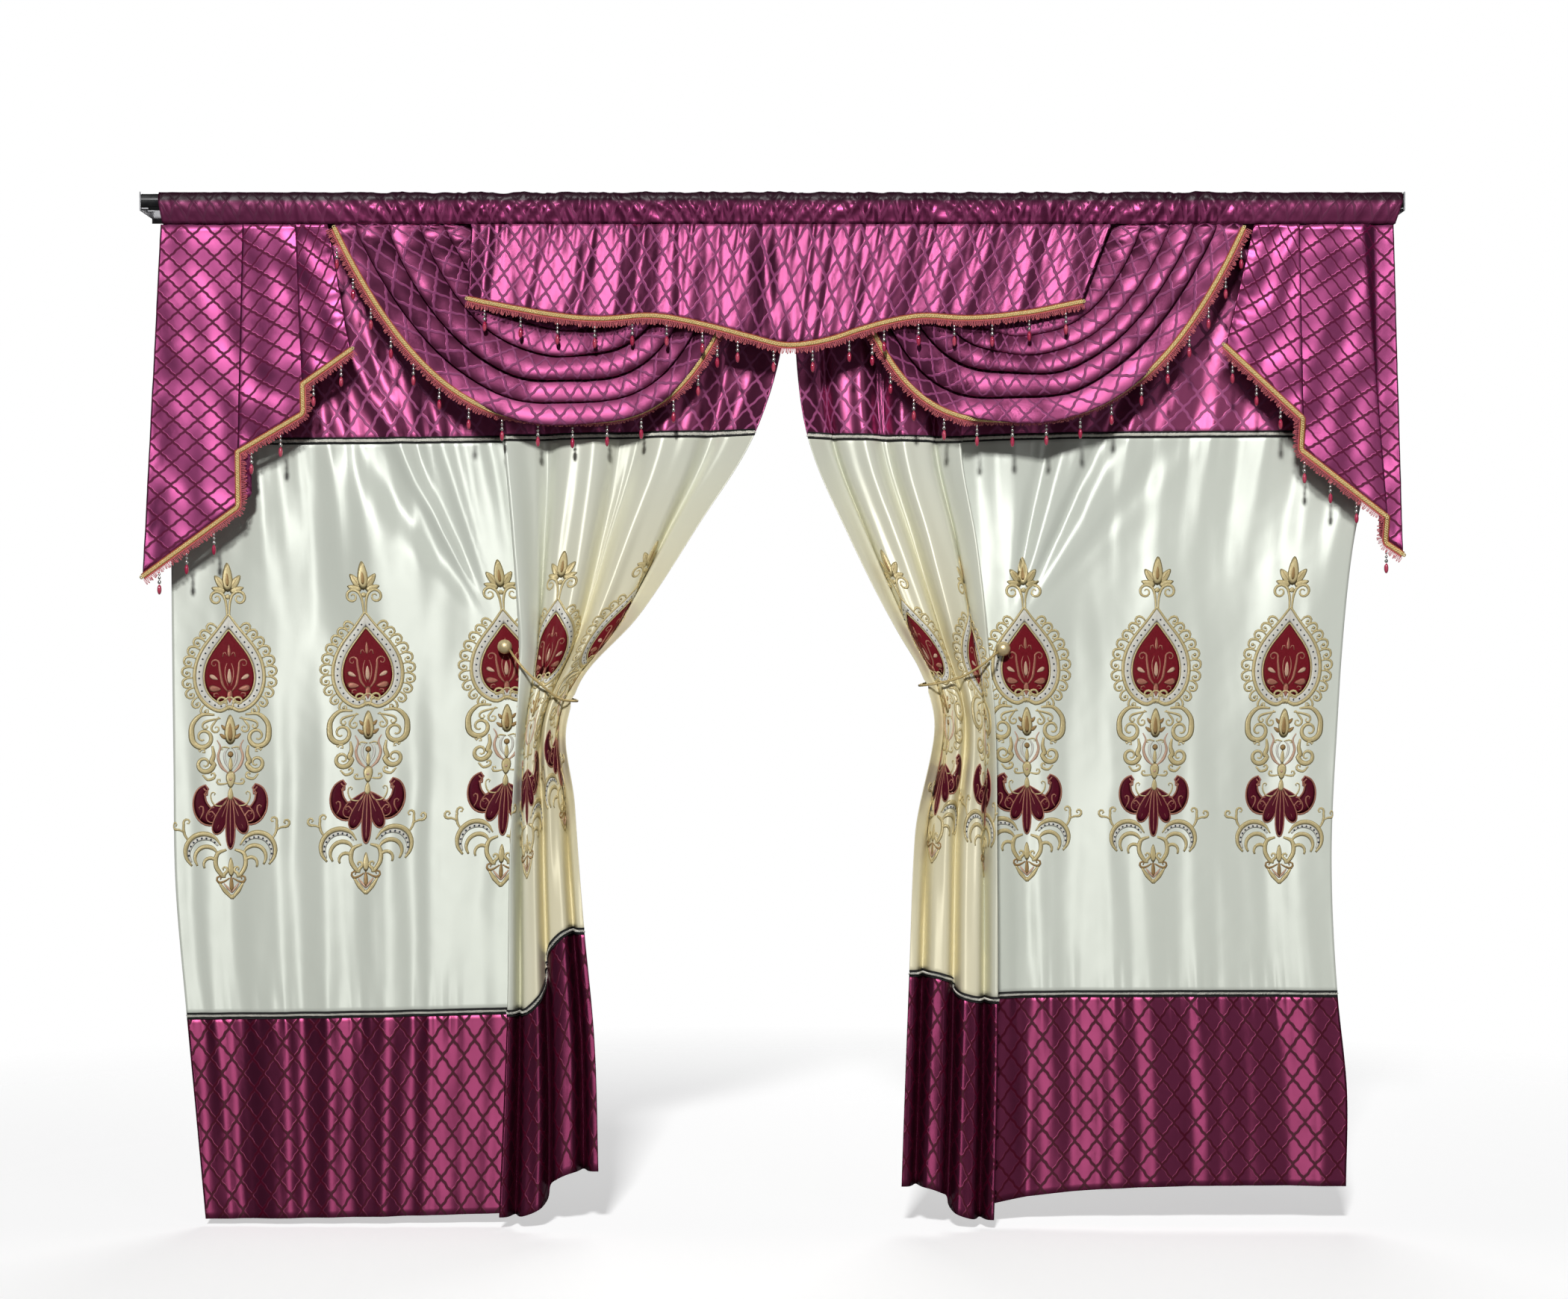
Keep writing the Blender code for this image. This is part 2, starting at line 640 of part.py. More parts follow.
def add_tie(panel, group):
    curve = bpy.data.curves.new("tie_cord_" + panel.side, "CURVE")
    curve.dimensions = "3D"
    curve.bevel_depth = CORD_RADIUS
    curve.bevel_resolution = 2
    curve.use_fill_caps = True
    route = smooth_route(tie_route(panel), CORD_POINTS)
    spline = curve.splines.new("POLY")
    spline.points.add(len(route) - 1)
    for point, place in zip(spline.points, route):
        point.co = (*place, 1)
    cord = bpy.data.objects.new("tie_cord_" + panel.side, curve)
    group.objects.link(cord)
    dress(cord, GOLD_CORD)

    for name, y in (("front", -0.0850), ("rear", -0.0340)):
        bm = bmesh.new()
        bmesh.ops.create_uvsphere(bm, u_segments=10, v_segments=7, radius=BALL_RADIUS)
        ball = add_mesh("tie_ball_" + panel.side + "_" + name, bm, GOLD_BALL, group)
        ball.location = (panel.tie_x * CM, y, -panel.tie_z * CM)
        ball.data.shade_smooth()


def add_rod(name, y, radius, finish, group):
    bm = bmesh.new()
    length = ROD_RIGHT - ROD_LEFT - 2 * CLEARANCE
    bmesh.ops.create_cone(
        bm,
        cap_ends=True,
        segments=ROD_SIDES,
        radius1=radius,
        radius2=radius,
        depth=length,
    )
    rod = add_mesh(name, bm, finish, group)
    rod.rotation_euler = (0, np.pi / 2, 0)
    rod.location = ((ROD_LEFT + ROD_RIGHT) / 2, y, 0)
    rod.data.shade_smooth()
    rod.data.set_sharp_from_angle(angle=0.6)
    return rod


def add_box(name, low, high, finish, group):
    """A box between two corners."""
    bm = bmesh.new()
    bmesh.ops.create_cube(bm, size=1)
    size = Vector(high) - Vector(low)
    middle = (Vector(high) + Vector(low)) / 2
    for vertex in bm.verts:
        vertex.co = Vector(a * b for a, b in zip(vertex.co, size)) + middle
    return add_mesh(name, bm, finish, group)


def fuse(base, pieces):
    """Join hidden pieces to a bracket's base."""
    for piece in pieces:
        piece.hide_render = True
        piece.display_type = "WIRE"
        union = base.modifiers.new("Join", "BOOLEAN")
        union.operation = "UNION"
        union.object = piece


def add_end_bracket(side, group, cutters):
    """A side plate that closes both rods' ends, with its wall flange and a shelf under each rod."""
    end = ROD_LEFT if side == "left" else ROD_RIGHT
    inward = 1 if side == "left" else -1
    name = "bracket_" + side

    def span(near, far):
        return sorted((end + inward * near, end + inward * far))

    plate = span(-PLATE, 0)
    base = add_box(
        name, (plate[0], -0.164, PLATE_LOW), (plate[1], 0, PLATE_HIGH), BRACKET_METAL, group
    )
    flange = span(-PLATE, FLANGE_WIDTH - PLATE)
    pieces = [
        add_box(
            name + "_flange",
            (flange[0], -PLATE, -FLANGE_HEIGHT / 2),
            (flange[1], 0, FLANGE_HEIGHT / 2),
            None,
            cutters,
        )
    ]
    shelf = span(-PLATE / 2, SHELF_LENGTH)
    for rod, y, radius in (
        ("front", FRONT_ROD_Y, FRONT_ROD_RADIUS),
        ("rear", REAR_ROD_Y, REAR_ROD_RADIUS),
    ):
        top = -radius - CLEARANCE
        pieces.append(
            add_box(
                name + "_shelf_" + rod,
                (shelf[0], y - SHELF_WIDTH / 2, top - PLATE),
                (shelf[1], y + SHELF_WIDTH / 2, top),
                None,
                cutters,
            )
        )
    fuse(base, pieces)


def add_middle_bracket(group, cutters):
    """A wall plate and an arm that carries the rear rod between the two panels."""
    top = -REAR_ROD_RADIUS - CLEARANCE
    reach = REAR_ROD_Y - REAR_ROD_RADIUS - CLEARANCE
    half = ARM_WIDTH / 2
    base = add_box(
        "bracket_middle",
        (-FLANGE_WIDTH / 2, -PLATE, -FLANGE_HEIGHT / 2),
        (FLANGE_WIDTH / 2, 0, FLANGE_HEIGHT / 2),
        BRACKET_METAL,
        group,
    )
    arm = add_box(
        "bracket_middle_arm", (-half, reach - PLATE, top - ARM_DROP), (half, -PLATE / 2, top), None, cutters
    )
    lip = add_box(
        "bracket_middle_lip",
        (-half, reach - PLATE, top - ARM_DROP / 2),
        (half, reach, top + LIP_HEIGHT),
        None,
        cutters,
    )
    fuse(base, [arm, lip])


def main():
    clear_scene()
    group = collection("curtain_set")
    cutters = collection("join_pieces")
    add_rod("rod_front", FRONT_ROD_Y, FRONT_ROD_RADIUS, ROD_PAINT, group)
    add_rod("rod_rear", REAR_ROD_Y, REAR_ROD_RADIUS, ROD_PAINT, group)
    add_end_bracket("left", group, cutters)
    add_end_bracket("right", group, cutters)
    add_middle_bracket(group, cutters)
    for panel in (LEFT_PANEL, RIGHT_PANEL):
        add_panel(panel, group)
        add_tie(panel, group)
    add_valance(group)


main()
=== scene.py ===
"""A tied-back curtain pair with a swag valance on a double rod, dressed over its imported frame.

Metres, +Z up. The tables are in centimetres, as a maker measures cloth: x to the right of the middle
bracket, z down from the rods, y towards the wall. Cloth is drawn by where a point of the flat cut hangs.
"""

from collections import namedtuple
from functools import partial

import bmesh
import bpy
import numpy as np
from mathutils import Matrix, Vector


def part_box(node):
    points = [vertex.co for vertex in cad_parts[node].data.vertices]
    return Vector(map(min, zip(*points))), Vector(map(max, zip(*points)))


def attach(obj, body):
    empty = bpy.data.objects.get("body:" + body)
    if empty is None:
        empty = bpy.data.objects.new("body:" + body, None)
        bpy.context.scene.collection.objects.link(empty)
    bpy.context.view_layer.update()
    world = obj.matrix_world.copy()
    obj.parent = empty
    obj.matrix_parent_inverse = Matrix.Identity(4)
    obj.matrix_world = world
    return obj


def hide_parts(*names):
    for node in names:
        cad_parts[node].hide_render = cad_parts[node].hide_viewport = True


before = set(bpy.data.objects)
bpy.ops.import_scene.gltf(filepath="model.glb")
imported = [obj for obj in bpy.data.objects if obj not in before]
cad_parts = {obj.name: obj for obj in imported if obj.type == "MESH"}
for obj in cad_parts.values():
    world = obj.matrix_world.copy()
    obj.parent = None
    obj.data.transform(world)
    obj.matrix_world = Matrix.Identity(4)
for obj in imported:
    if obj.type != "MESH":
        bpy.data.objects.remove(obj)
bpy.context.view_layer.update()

CM = 0.01
BODY = "root"

# Rods, in metres
FRONT_ROD_Y = -0.145
REAR_ROD_Y = -0.070

# Heading, in centimetres, with how much cloth is in its width and in each step round its rod
STITCH_Z = 5.4
HEADING_LEFT = -145.2
HEADING_RIGHT = 141.2
HEADING_TAPER = 0.8
HEADING_FULLNESS = 1.35
HEADING_STEP = 2.3

# Panels, in centimetres of cloth
PANEL_WIDTH = 158.0
UPPER_SEAM = 49.0
LOWER_SEAM = 182.0
HEM = 229.0
SEAM_GAP = 0.03
POCKET_CLOTH = 13.0
FOLD_ROUNDING = 1.3
BUNDLE_FOLDS = 3
FLAT_WAVES = 3.5
PINCH_REACH = 8.0

# Valance, in centimetres
TOP_Z = 5.5
SKIRT_LEFT = -73.2
SKIRT_RIGHT = 74.2
SKIRT_CLOTH = 147
SKIRT_FULLNESS = 1.3
SKIRT_FOLDS = 9
SWAG_PLEATS = 5
SWAG_ROUNDNESS = 2.5
SWAG_ROUNDNESS_INNER = 3.2
TAIL_Y = -15.2
TAIL_TRIM_LEAD = 0.45

# Cloth thickness, in metres
SATIN = 0.0009

# Valance trim, in metres: the gimp and how far it laps the cloth, its scrolls, the fringe, and the
# beads, with how far down each starts, its length and its half width
GIMP_HALF = 0.00675
GIMP_CORE = 0.0045
GIMP_THICKNESS = 0.0012
GIMP_LAP = 0.0045
GIMP_RIM = 0.0011
EDGE_CORD = 0.0012
SILVER_BEADS = ((0.004, 0.007, 0.0028), (0.012, 0.008, 0.0036), (0.021, 0.010, 0.0044))
RED_DROP = (0.0315, 0.0235, 0.0052)
SCROLL_STEP = 0.0110
SCROLL_SWAY = 0.0034
LOOP_STEP = 0.0042
LOOP_DROP = 0.0125
BEAD_ROOT = 0.017
BEAD_CLEAR = 0.006
SKIRT_BEADS = 0.083
SWAG_BEADS = 0.078
TAIL_BEADS = 0.075

# Seam braid: how far it lies off the cloth in centimetres, and its ribbon and plait in metres
BRAID_LIFT = 0.13
BRAID_HALF = 0.0080
BRAID_EDGE = 0.0068
PLAIT_STEP = 0.0036
PLAIT_SWAY = 0.0032

# Ties, in metres
CORD_RADIUS = 0.003
CORD_LAY = 0.020
BALL_RADIUS = 0.017

# Embroidery, in centimetres
MOTIF_TOP = 77.5
MOTIF_PITCH = 32.0
MOTIF_FIRST = 13.6
MOTIF_COUNT = 5

# The picture: the camera's distance in metres, and the photo's size, middle and scale
CAMERA_DISTANCE = 8.0
PHOTO_WIDTH = 2100
PHOTO_MIDDLE = (1050, 870)
PHOTO_ORIGIN = (1057, 271)
PIXEL = 0.001727

# The floor, in metres
FLOOR_RADIUS = 5.0
FLOOR_PLACE = (0, -0.3, -2.375)

Loop = namedtuple("Loop", "turn y z")
FRONT_POCKET = (
    Loop(0, 0.45, 5.4), Loop(1, 1.85, 2.2), Loop(2, 1.95, 0.0), Loop(3, 1.40, -1.40),
    Loop(4, 0.00, -1.95), Loop(5, -1.40, -1.40), Loop(6, -1.95, 0.0), Loop(7, -1.95, 2.2),
    Loop(8, -0.75, 5.4),
)
REAR_POCKET = (
    Loop(0, 0.40, 5.2), Loop(1, 1.85, 1.6), Loop(2, 1.85, -0.3), Loop(3, 0.00, -1.9),
    Loop(4, -1.85, -0.3), Loop(5, -1.85, 1.6), Loop(6, -0.40, 5.2),
)

# A panel's section at each length of cloth below its pocket: the outer edge, the standing fold's
# front edge and the inner edge, how far the flat part runs on behind that fold, how far the drawn
# part stands in front of the flat part, and how deep its folds are
Level = namedtuple("Level", "down x_out z_out x_fold z_fold x_in z_in lap stand wave break_off")
LEFT_LEVELS = (
    Level(0, -144.9, 5.5, -70.5, 5.5, -0.9, 5.5, -3.6, 0.3, 0.25, 0),
    Level(25, -144.6, 30.6, -69.3, 30.5, -0.9, 30.4, -1.2, 1.4, 0.9, 0),
    Level(49, -144.4, 55.1, -66.8, 54.4, -7.4, 53.0, 1.2, 2.6, 1.5, 0),
    Level(75, -144.2, 80.6, -64.6, 79.6, -20.6, 74.6, 2.6, 3.6, 2.0, 0),
    Level(100, -144.0, 105.8, -63.2, 103.6, -34.4, 95.5, 3.6, 4.4, 2.4, 0),
    Level(124, -143.7, 130.0, -63.6, 126.0, -50.9, 114.6, 4.2, 4.8, 2.6, 0.2),
    Level(150, -143.3, 156.5, -65.0, 152.5, -49.4, 139.7, 4.2, 4.8, 2.6, 0.6),
    Level(182, -140.6, 188.8, -65.6, 187.4, -47.2, 168.6, 4.2, 4.6, 2.5, 1),
    Level(205, -138.4, 212.0, -66.6, 211.6, -44.8, 194.5, 4.2, 4.4, 2.5, 1),
    Level(229, -136.2, 236.0, -67.6, 234.6, -43.9, 224.3, 4.2, 4.2, 2.5, 1),
)
RIGHT_LEVELS = (
    Level(0, 140.1, 5.5, 44.6, 5.5, 0.9, 5.5, 6.0, 0.3, 0.25, 0),
    Level(25, 138.9, 30.3, 41.8, 30.4, 0.9, 30.4, 2.0, 1.4, 0.9, 0),
    Level(49, 136.8, 53.2, 40.2, 54.7, 3.8, 53.6, -1.4, 2.6, 1.5, 0),
    Level(75, 131.6, 79.0, 44.2, 79.4, 13.4, 77.0, -3.4, 3.6, 2.0, 0),
    Level(100, 129.0, 104.0, 46.8, 103.8, 25.2, 100.0, -4.6, 4.4, 2.4, 0),
    Level(114, 128.1, 118.2, 47.8, 117.4, 32.4, 111.2, -5.0, 4.8, 2.6, 0),
    Level(150, 126.6, 153.0, 48.6, 151.8, 28.8, 147.0, -5.4, 4.8, 2.6, 0.3),
    Level(182, 128.0, 183.6, 48.8, 184.4, 27.5, 178.4, -5.4, 4.6, 2.5, 1),
    Level(205, 130.2, 206.0, 48.6, 210.0, 26.6, 202.0, -5.4, 4.4, 2.5, 1),
    Level(229, 130.0, 228.4, 47.9, 235.2, 25.7, 227.8, -5.4, 4.2, 2.5, 1),
)
Panel = namedtuple("Panel", "side levels back front tie_x tie_z tie_x_in tie_z_in hand sag")
LEFT_PANEL = Panel("left", LEFT_LEVELS, 84.0, 88.0, -66.1, 102.8, -51.2, 115.4, 1, 1.5)
RIGHT_PANEL = Panel("right", RIGHT_LEVELS, 91.0, 97.0, 49.7, 103.3, 32.2, 111.8, -1, 4.0)

Edge = namedtuple("Edge", "x z")
SKIRT_EDGE = (
    Edge(-73.6, 22.6), Edge(-63.7, 24.6), Edge(-54.7, 26.2), Edge(-42.7, 27.2), Edge(-33.0, 26.4),
    Edge(-18.3, 28.8), Edge(-9.3, 31.2), Edge(0.2, 33.2), Edge(7.9, 32.2), Edge(16.9, 29.4),
    Edge(29.0, 26.6), Edge(41.1, 27.0), Edge(54.0, 25.8), Edge(67.2, 23.2),
)
Swag = namedtuple(
    "Swag",
    "side outer_first outer_last inner_first inner_last x_deep z_first z_last under_from under_to",
)
LEFT_SWAG = Swag("left", -74.0, -104.6, -33.0, -7.5, -51.0, 23.5, 50.8, 0.40, 0.68)
RIGHT_SWAG = Swag("right", 75.0, 104.4, 36.0, 10.5, 52.6, 23.5, 50.5, 0.31, 0.58)
SWAGS = (LEFT_SWAG, RIGHT_SWAG)
Crease = namedtuple("Crease", "across x_top x_low z_low y")
LEFT_TAIL = (
    Crease(0, -145.0, -149.2, 86.3, 0.20),
    Crease(22, -123.4, -123.6, 67.6, 0.30),
    Crease(26, -126.2, -127.4, 57.8, -0.55),
    Crease(41, -111.6, -110.6, 47.8, -0.10),
    Crease(44, -114.0, -112.4, 42.2, -0.95),
    Crease(57, -106.2, -100.9, 34.0, -0.80),
)
RIGHT_TAIL = (
    Crease(0, 139.4, 141.6, 81.2, 0.10),
    Crease(5, 134.6, 135.8, 77.2, 0.85),
    Crease(9, 132.1, 137.8, 72.8, -1.80),
    Crease(29, 114.8, 116.4, 55.6, 0.85),
    Crease(33, 117.6, 118.4, 50.2, -2.00),
    Crease(51, 107.0, 100.5, 33.0, 0.20),
)
TAILS = (("left", LEFT_TAIL), ("right", RIGHT_TAIL))

# Which stretches of cloth face the lamp, measured across it: a share of 1 shines and 0 stays dark
Shine = namedtuple("Shine", "start end share")
LEFT_TOP_SHINES = (
    Shine(5, 9, 0.8), Shine(14, 17, 1.0), Shine(23, 27, 0.7), Shine(33, 36, 0.9), Shine(41, 43, 0.8),
    Shine(47, 54, 1.0), Shine(60, 62, 0.7), Shine(65, 70, 1.0), Shine(75, 77, 0.8), Shine(81, 84, 0.9),
)
LEFT_LOW_SHINES = (
    Shine(0, 3, 0.7), Shine(7, 12, 0.55), Shine(26, 28, 0.6), Shine(37, 41, 0.85), Shine(54, 56, 0.6),
    Shine(61, 73, 1.0), Shine(79, 81, 0.7),
)
RIGHT_TOP_SHINES = (
    Shine(4, 7, 0.8), Shine(12, 16, 0.9), Shine(24, 29, 0.9), Shine(36, 40, 1.0), Shine(45, 48.5, 1.0),
    Shine(54, 56, 0.8), Shine(62, 67, 1.0), Shine(73, 76, 0.8), Shine(82, 86, 0.9),
)
RIGHT_LOW_SHINES = (
    Shine(7, 16, 0.9), Shine(34.5, 38, 1.0), Shine(48, 49.5, 0.6), Shine(56, 67, 1.0),
    Shine(73, 79, 0.95), Shine(83, 86, 1.0),
)
SKIRT_SHINES = (
    Shine(6.5, 16, 1.0), Shine(19, 26, 0.85), Shine(30, 36, 1.0), Shine(44, 47, 0.9),
    Shine(50, 56, 0.95), Shine(58, 66, 1.0), Shine(71, 78, 0.95), Shine(80, 83, 0.85),
    Shine(87, 92, 0.9), Shine(95, 98, 1.0), Shine(101, 107, 1.0), Shine(113, 117, 0.9),
    Shine(120, 127, 0.95), Shine(130, 133, 0.9), Shine(139, 144, 1.0),
)
# How far a flat has to lean to face the lamp, at one side of each cloth and at the other
LEFT_LEAN = (0.078, 0.020)
RIGHT_LEAN = (0.161, 0.083)
SKIRT_LEAN = (0.026, -0.109)
FLAT_TURN = 0.17


# How the cloth hangs

def smooth(rows, column, where):
    """A column of a table at `where` in its first column, on a smooth curve through the rows."""
    known = np.array([row[0] for row in rows], float)
    value = np.array([getattr(row, column) for row in rows], float)
    slope = np.gradient(value, known)
    left = np.clip(np.searchsorted(known, where) - 1, 0, len(known) - 2)
    gap = known[left + 1] - known[left]
    f = (where - known[left]) / gap
    rise = 3 * f**2 - 2 * f**3
    return (
        value[left] * (1 - rise)
        + value[left + 1] * rise
        + gap * slope[left] * (f**3 - 2 * f**2 + f)
        + gap * slope[left + 1] * (f**3 - f**2)
    )


def straight(rows, column, where):
    """The same on straight lines between the rows."""
    return np.interp(where, [row[0] for row in rows], [getattr(row, column) for row in rows])


def rounded(shape, across, reach):
    """A folded line with its creases rounded: the mean of a few points either side of each."""
    return sum(shape(across + reach * step) for step in (-1.0, -0.5, 0.0, 0.5, 1.0)) / 5


def ease(f):
    f = np.clip(f, 0, 1)
    return f * f * (3 - 2 * f)


def lengths(line):
    """How far along a line each of its points is."""
    return np.concatenate([[0], np.cumsum(np.linalg.norm(np.diff(line, axis=0), axis=1))])


def crumple(u, v, size, seed, count=7):
    """Soft uneven dents, from -1 to 1, about `size` across, from a few crossed waves."""
    draw = np.random.default_rng(seed)
    total = np.zeros_like(u)
    for _ in range(count):
        angle, phase, stretch = draw.uniform(0, 2 * np.pi), draw.uniform(0, 6.3), draw.uniform(0.7, 1.6)
        along = (u * np.cos(angle) + v * np.sin(angle)) * 2 * np.pi / (size * stretch)
        total += np.sin(along + phase + 0.8 * np.sin(along * 0.37 + phase))
    return total / count**0.5 / 1.4


def folds(place, pitch, seed, drift=0.0):
    """Uneven soft folds, from about -1 to 1: a wave whose pitch, depth and roundness wander."""
    a, b, c, d = np.random.default_rng(seed).uniform(0, 2 * np.pi, 4)
    turn = 2 * np.pi * place / pitch
    phase = turn + 1.3 * np.sin(turn / 4.7 + a) + 0.7 * np.sin(turn / 2.3 + b) + drift
    depth = 0.68 + 0.32 * np.sin(turn / 5.9 + c)
    return depth * (np.sin(phase) + 0.30 * np.sin(2 * phase + d)) / 1.15


def ridges(place, pitch, seed, drift=0.0):
    """Sharp uneven creases, from -1 in the hollows to 1 on their edges."""
    a, b = np.random.default_rng(seed).uniform(0, 2 * np.pi, 2)
    turn = np.pi * place / pitch
    phase = turn + 0.9 * np.sin(turn / 2.7 + a) + 0.5 * np.sin(turn / 1.3 + b) + drift
    return 1 - 2 * np.abs(np.sin(phase)) ** 0.75


def facets(place, pitch, seed, drift=0.0, blur=0.09):
    """How far out loose cloth stands whose uneven flats face a little one way or the other."""
    draw = np.random.default_rng(seed)
    marks, heights = [-40.0], [0.0]
    while marks[-1] < 220:
        width = pitch * draw.uniform(0.35, 1.5)
        slope = draw.choice((0.0, 0.10, 0.16, 0.22)) * draw.choice((-1, 1))
        if abs(heights[-1] + width * slope) > 0.12 * pitch:
            slope = -np.sign(heights[-1]) * abs(slope)
        marks.append(marks[-1] + width)
        heights.append(heights[-1] + width * slope)
    soft = blur * pitch
    return sum(np.interp(place + drift + soft * step, marks, heights) for step in (-1, -0.5, 0, 0.5, 1)) / 5


def flats(shines, lean, width):
    """Places across a cloth and how far out it stands there, for flats that face the lamp or turn away."""
    marks, heights = [0.0], [0.0]

    def add(length, slope):
        marks.append(marks[-1] + length)
        heights.append(heights[-1] + length * slope)

    for start, end, share in (*shines, Shine(width, width + 4, 0)):
        gap = start - marks[-1]
        near = np.interp(start, (0, width), lean)
        slope = near + (1 - share) * FLAT_TURN
        want = -heights[-1] - slope * (end - start) / 2
        beyond = np.clip((gap + (want - near * gap) / FLAT_TURN) / 2, 0, gap)
        add(gap - beyond, near - FLAT_TURN)
        add(beyond, near + FLAT_TURN)
        add(end - start, slope)
    return marks, heights


def hung_flats(table, place, soft):
    """How far out a cloth stands that hangs in such flats, with their corners softened."""
    return sum(np.interp(place + soft * step, *table) for step in (-1, -0.5, 0, 0.5, 1)) / 5


TOP_FLATS = {"left": flats(LEFT_TOP_SHINES, LEFT_LEAN, 88), "right": flats(RIGHT_TOP_SHINES, RIGHT_LEAN, 95)}
LOW_FLATS = {"left": flats(LEFT_LOW_SHINES, LEFT_LEAN, 88), "right": flats(RIGHT_LOW_SHINES, RIGHT_LEAN, 95)}
SKIRT_FLATS = flats(SKIRT_SHINES, SKIRT_LEAN, SKIRT_CLOTH)


def panel_point(panel, across, down):
    """Where a panel's cloth hangs: `across` from the outer edge and `down` from the pocket."""
    level = {name: smooth(panel.levels, name, down) for name in Level._fields[1:]}

    def parts(u):
        """How far through the flat part, the standing fold and the drawn part a place across is."""
        flat = np.clip(u / panel.back, 0, 1)
        turn = np.clip((u - panel.back) / (panel.front - panel.back), 0, 1)
        return flat, turn, np.clip((u - panel.front) / (PANEL_WIDTH - panel.front), 0, 1)

    def sideways(u):
        flat, turn, drawn = parts(u)
        crease = level["x_fold"] + level["lap"]
        width = level["x_in"] - level["x_fold"]
        full = np.clip(1.75 * (1 - np.abs(width) / (PANEL_WIDTH - panel.front)), 0.1, 0.92)
        rounds = 2 * np.pi * BUNDLE_FOLDS
        return (
            level["x_out"]
            + (crease - level["x_out"]) * flat
            - level["lap"] * turn
            + width * (drawn + full * np.sin(rounds * drawn) / rounds)
        )

    _, _, drawn = parts(across)
    step = ease((drawn - 0.25) / 0.5)
    fall = drawn + (step - drawn) * np.clip(level["break_off"], 0, 1)
    before = np.clip(across / panel.front, 0, 1) ** panel.sag
    z = (
        level["z_out"]
        + (level["z_fold"] - level["z_out"]) * before
        + (level["z_in"] - level["z_fold"]) * fall
    )
    x = rounded(sideways, across, FOLD_ROUNDING)
    below_tie = z - panel.tie_z_in
    filled = 1.1 * np.exp(-((below_tie / 6.5) ** 2)) - 0.5 * np.exp(-((below_tie / 0.9) ** 2))
    x = x + panel.hand * filled * drawn**4

    along = np.clip((x - panel.tie_x) / (panel.tie_x_in - panel.tie_x), 0, 1)
    tie_z = panel.tie_z + (panel.tie_z_in - panel.tie_z) * along
    pinch = np.exp(-(((z - tie_z) / PINCH_REACH) ** 2))
    stand = level["stand"] * (1 - 0.25 * pinch)
    wave = level["wave"] * (1 - 0.4 * pinch)
    wander = 0.5 * np.sin(down / 31.0 + panel.hand) + 0.3 * np.sin(down / 13.0)
    low = ease((down - 130) / 45)
    square = 0.3 + 2.4 * low

    def outwards(u):
        flat, turn, folded = parts(u)
        sway = 0.06 * level["wave"] * np.sin(2 * np.pi * FLAT_WAVES * flat) * (1 - flat**4)
        fold = wave * np.tanh(square * np.cos(2 * np.pi * BUNDLE_FOLDS * folded)) / np.tanh(square)
        small = wave * ease(folded * 6) * (1 - 0.93 * low)
        fold = fold + 0.30 * small * np.cos(2 * np.pi * 8 * folded + wander)
        fold = fold + 0.13 * small * np.cos(2 * np.pi * 17 * folded - 2 * wander)
        rest = 0.2 * level["stand"] * flat**2 + sway
        drawn_part = -stand * (1 - 0.55 * folded**1.5) - fold
        return rest * (1 - turn) + drawn_part * turn

    y = REAR_ROD_Y / CM + rounded(outwards, across, FOLD_ROUNDING)
    return x, y + panel_creases(panel, across, down, x, z), z


def panel_creases(panel, across, down, x, z):
    """The small folds of a panel: gathers under the rod, streaks that run to the tie, and soft waves."""
    flat = ease((panel.back - 3 - across) / 12)
    side = panel.hand
    gathers = hung_flats(TOP_FLATS[panel.side], across + 0.9 * np.sin(down / 17), 0.6)
    gathers = gathers * ease((95 - down) / 40)
    gathers = gathers + 0.05 * folds(across, 5.2, 3 + side) * np.exp(-((down / 40) ** 2))
    broad = 0.7 * facets(across, 12.0, 5 + side, 2.5 * np.sin(down / 28), 0.16)
    broad = broad * ease((135 - down) / 60) * ease((down - 45) / 30)
    reach_x = (panel.tie_x - x) * side
    reach_z = panel.tie_z - z
    far = np.hypot(reach_x, reach_z)
    angle = np.arctan2(reach_z, reach_x)
    ring = ease((far - 6) / 22) * ease((100 - far) / 30)
    steep = ease((angle - 0.70) / 0.35)
    streaks = 0.95 * folds(angle, 0.27, 9 + side, 0.25 * np.sin(far / 14)) * ring * steep * flat
    broad = broad * (1 - 0.8 * ring * steep)
    growth = ease((down - 88) / 90) * flat
    drift = 1.2 * np.sin(down / 33 - 6.3)
    waves = hung_flats(LOW_FLATS[panel.side], across + drift, 1.3) * ease((down - 85) / 60) * flat
    ripples = 0.05 * folds(across, 7.1, 15 + side, 0.8 * np.sin(down / 19)) * growth
    sewn = np.exp(-(((down - LOWER_SEAM) / 7) ** 2)) + 0.8 * np.exp(-(((down - UPPER_SEAM) / 6) ** 2))
    puckers = 0.13 * folds(across, 3.6, 18 + side) * sewn * flat
    hem = 0.08 * folds(across, 9.5, 21 + side, 0.4 * np.sin(down / 11)) * ease((down - 178) / 45) * flat
    dents = 0.06 * crumple(across, down * 0.45, 8.0, 4) + 0.015 * crumple(across, down * 0.7, 3.1, 6)
    return gathers + (broad + streaks) * flat + waves + ripples + puckers + hem + dents


def pocket_point(panel, across, turn):
    """A panel's pocket, by its turns round the rear rod."""
    x, _, _ = panel_point(panel, across, np.zeros_like(across))
    gathered = 0.14 * np.sin(2 * np.pi * across / 4.6 + 0.9 * np.sin(across / 7.0))
    y = REAR_ROD_Y / CM + smooth(REAR_POCKET, "y", turn) * (1 + 0.4 * np.abs(gathered))
    return x, y, smooth(REAR_POCKET, "z", turn)


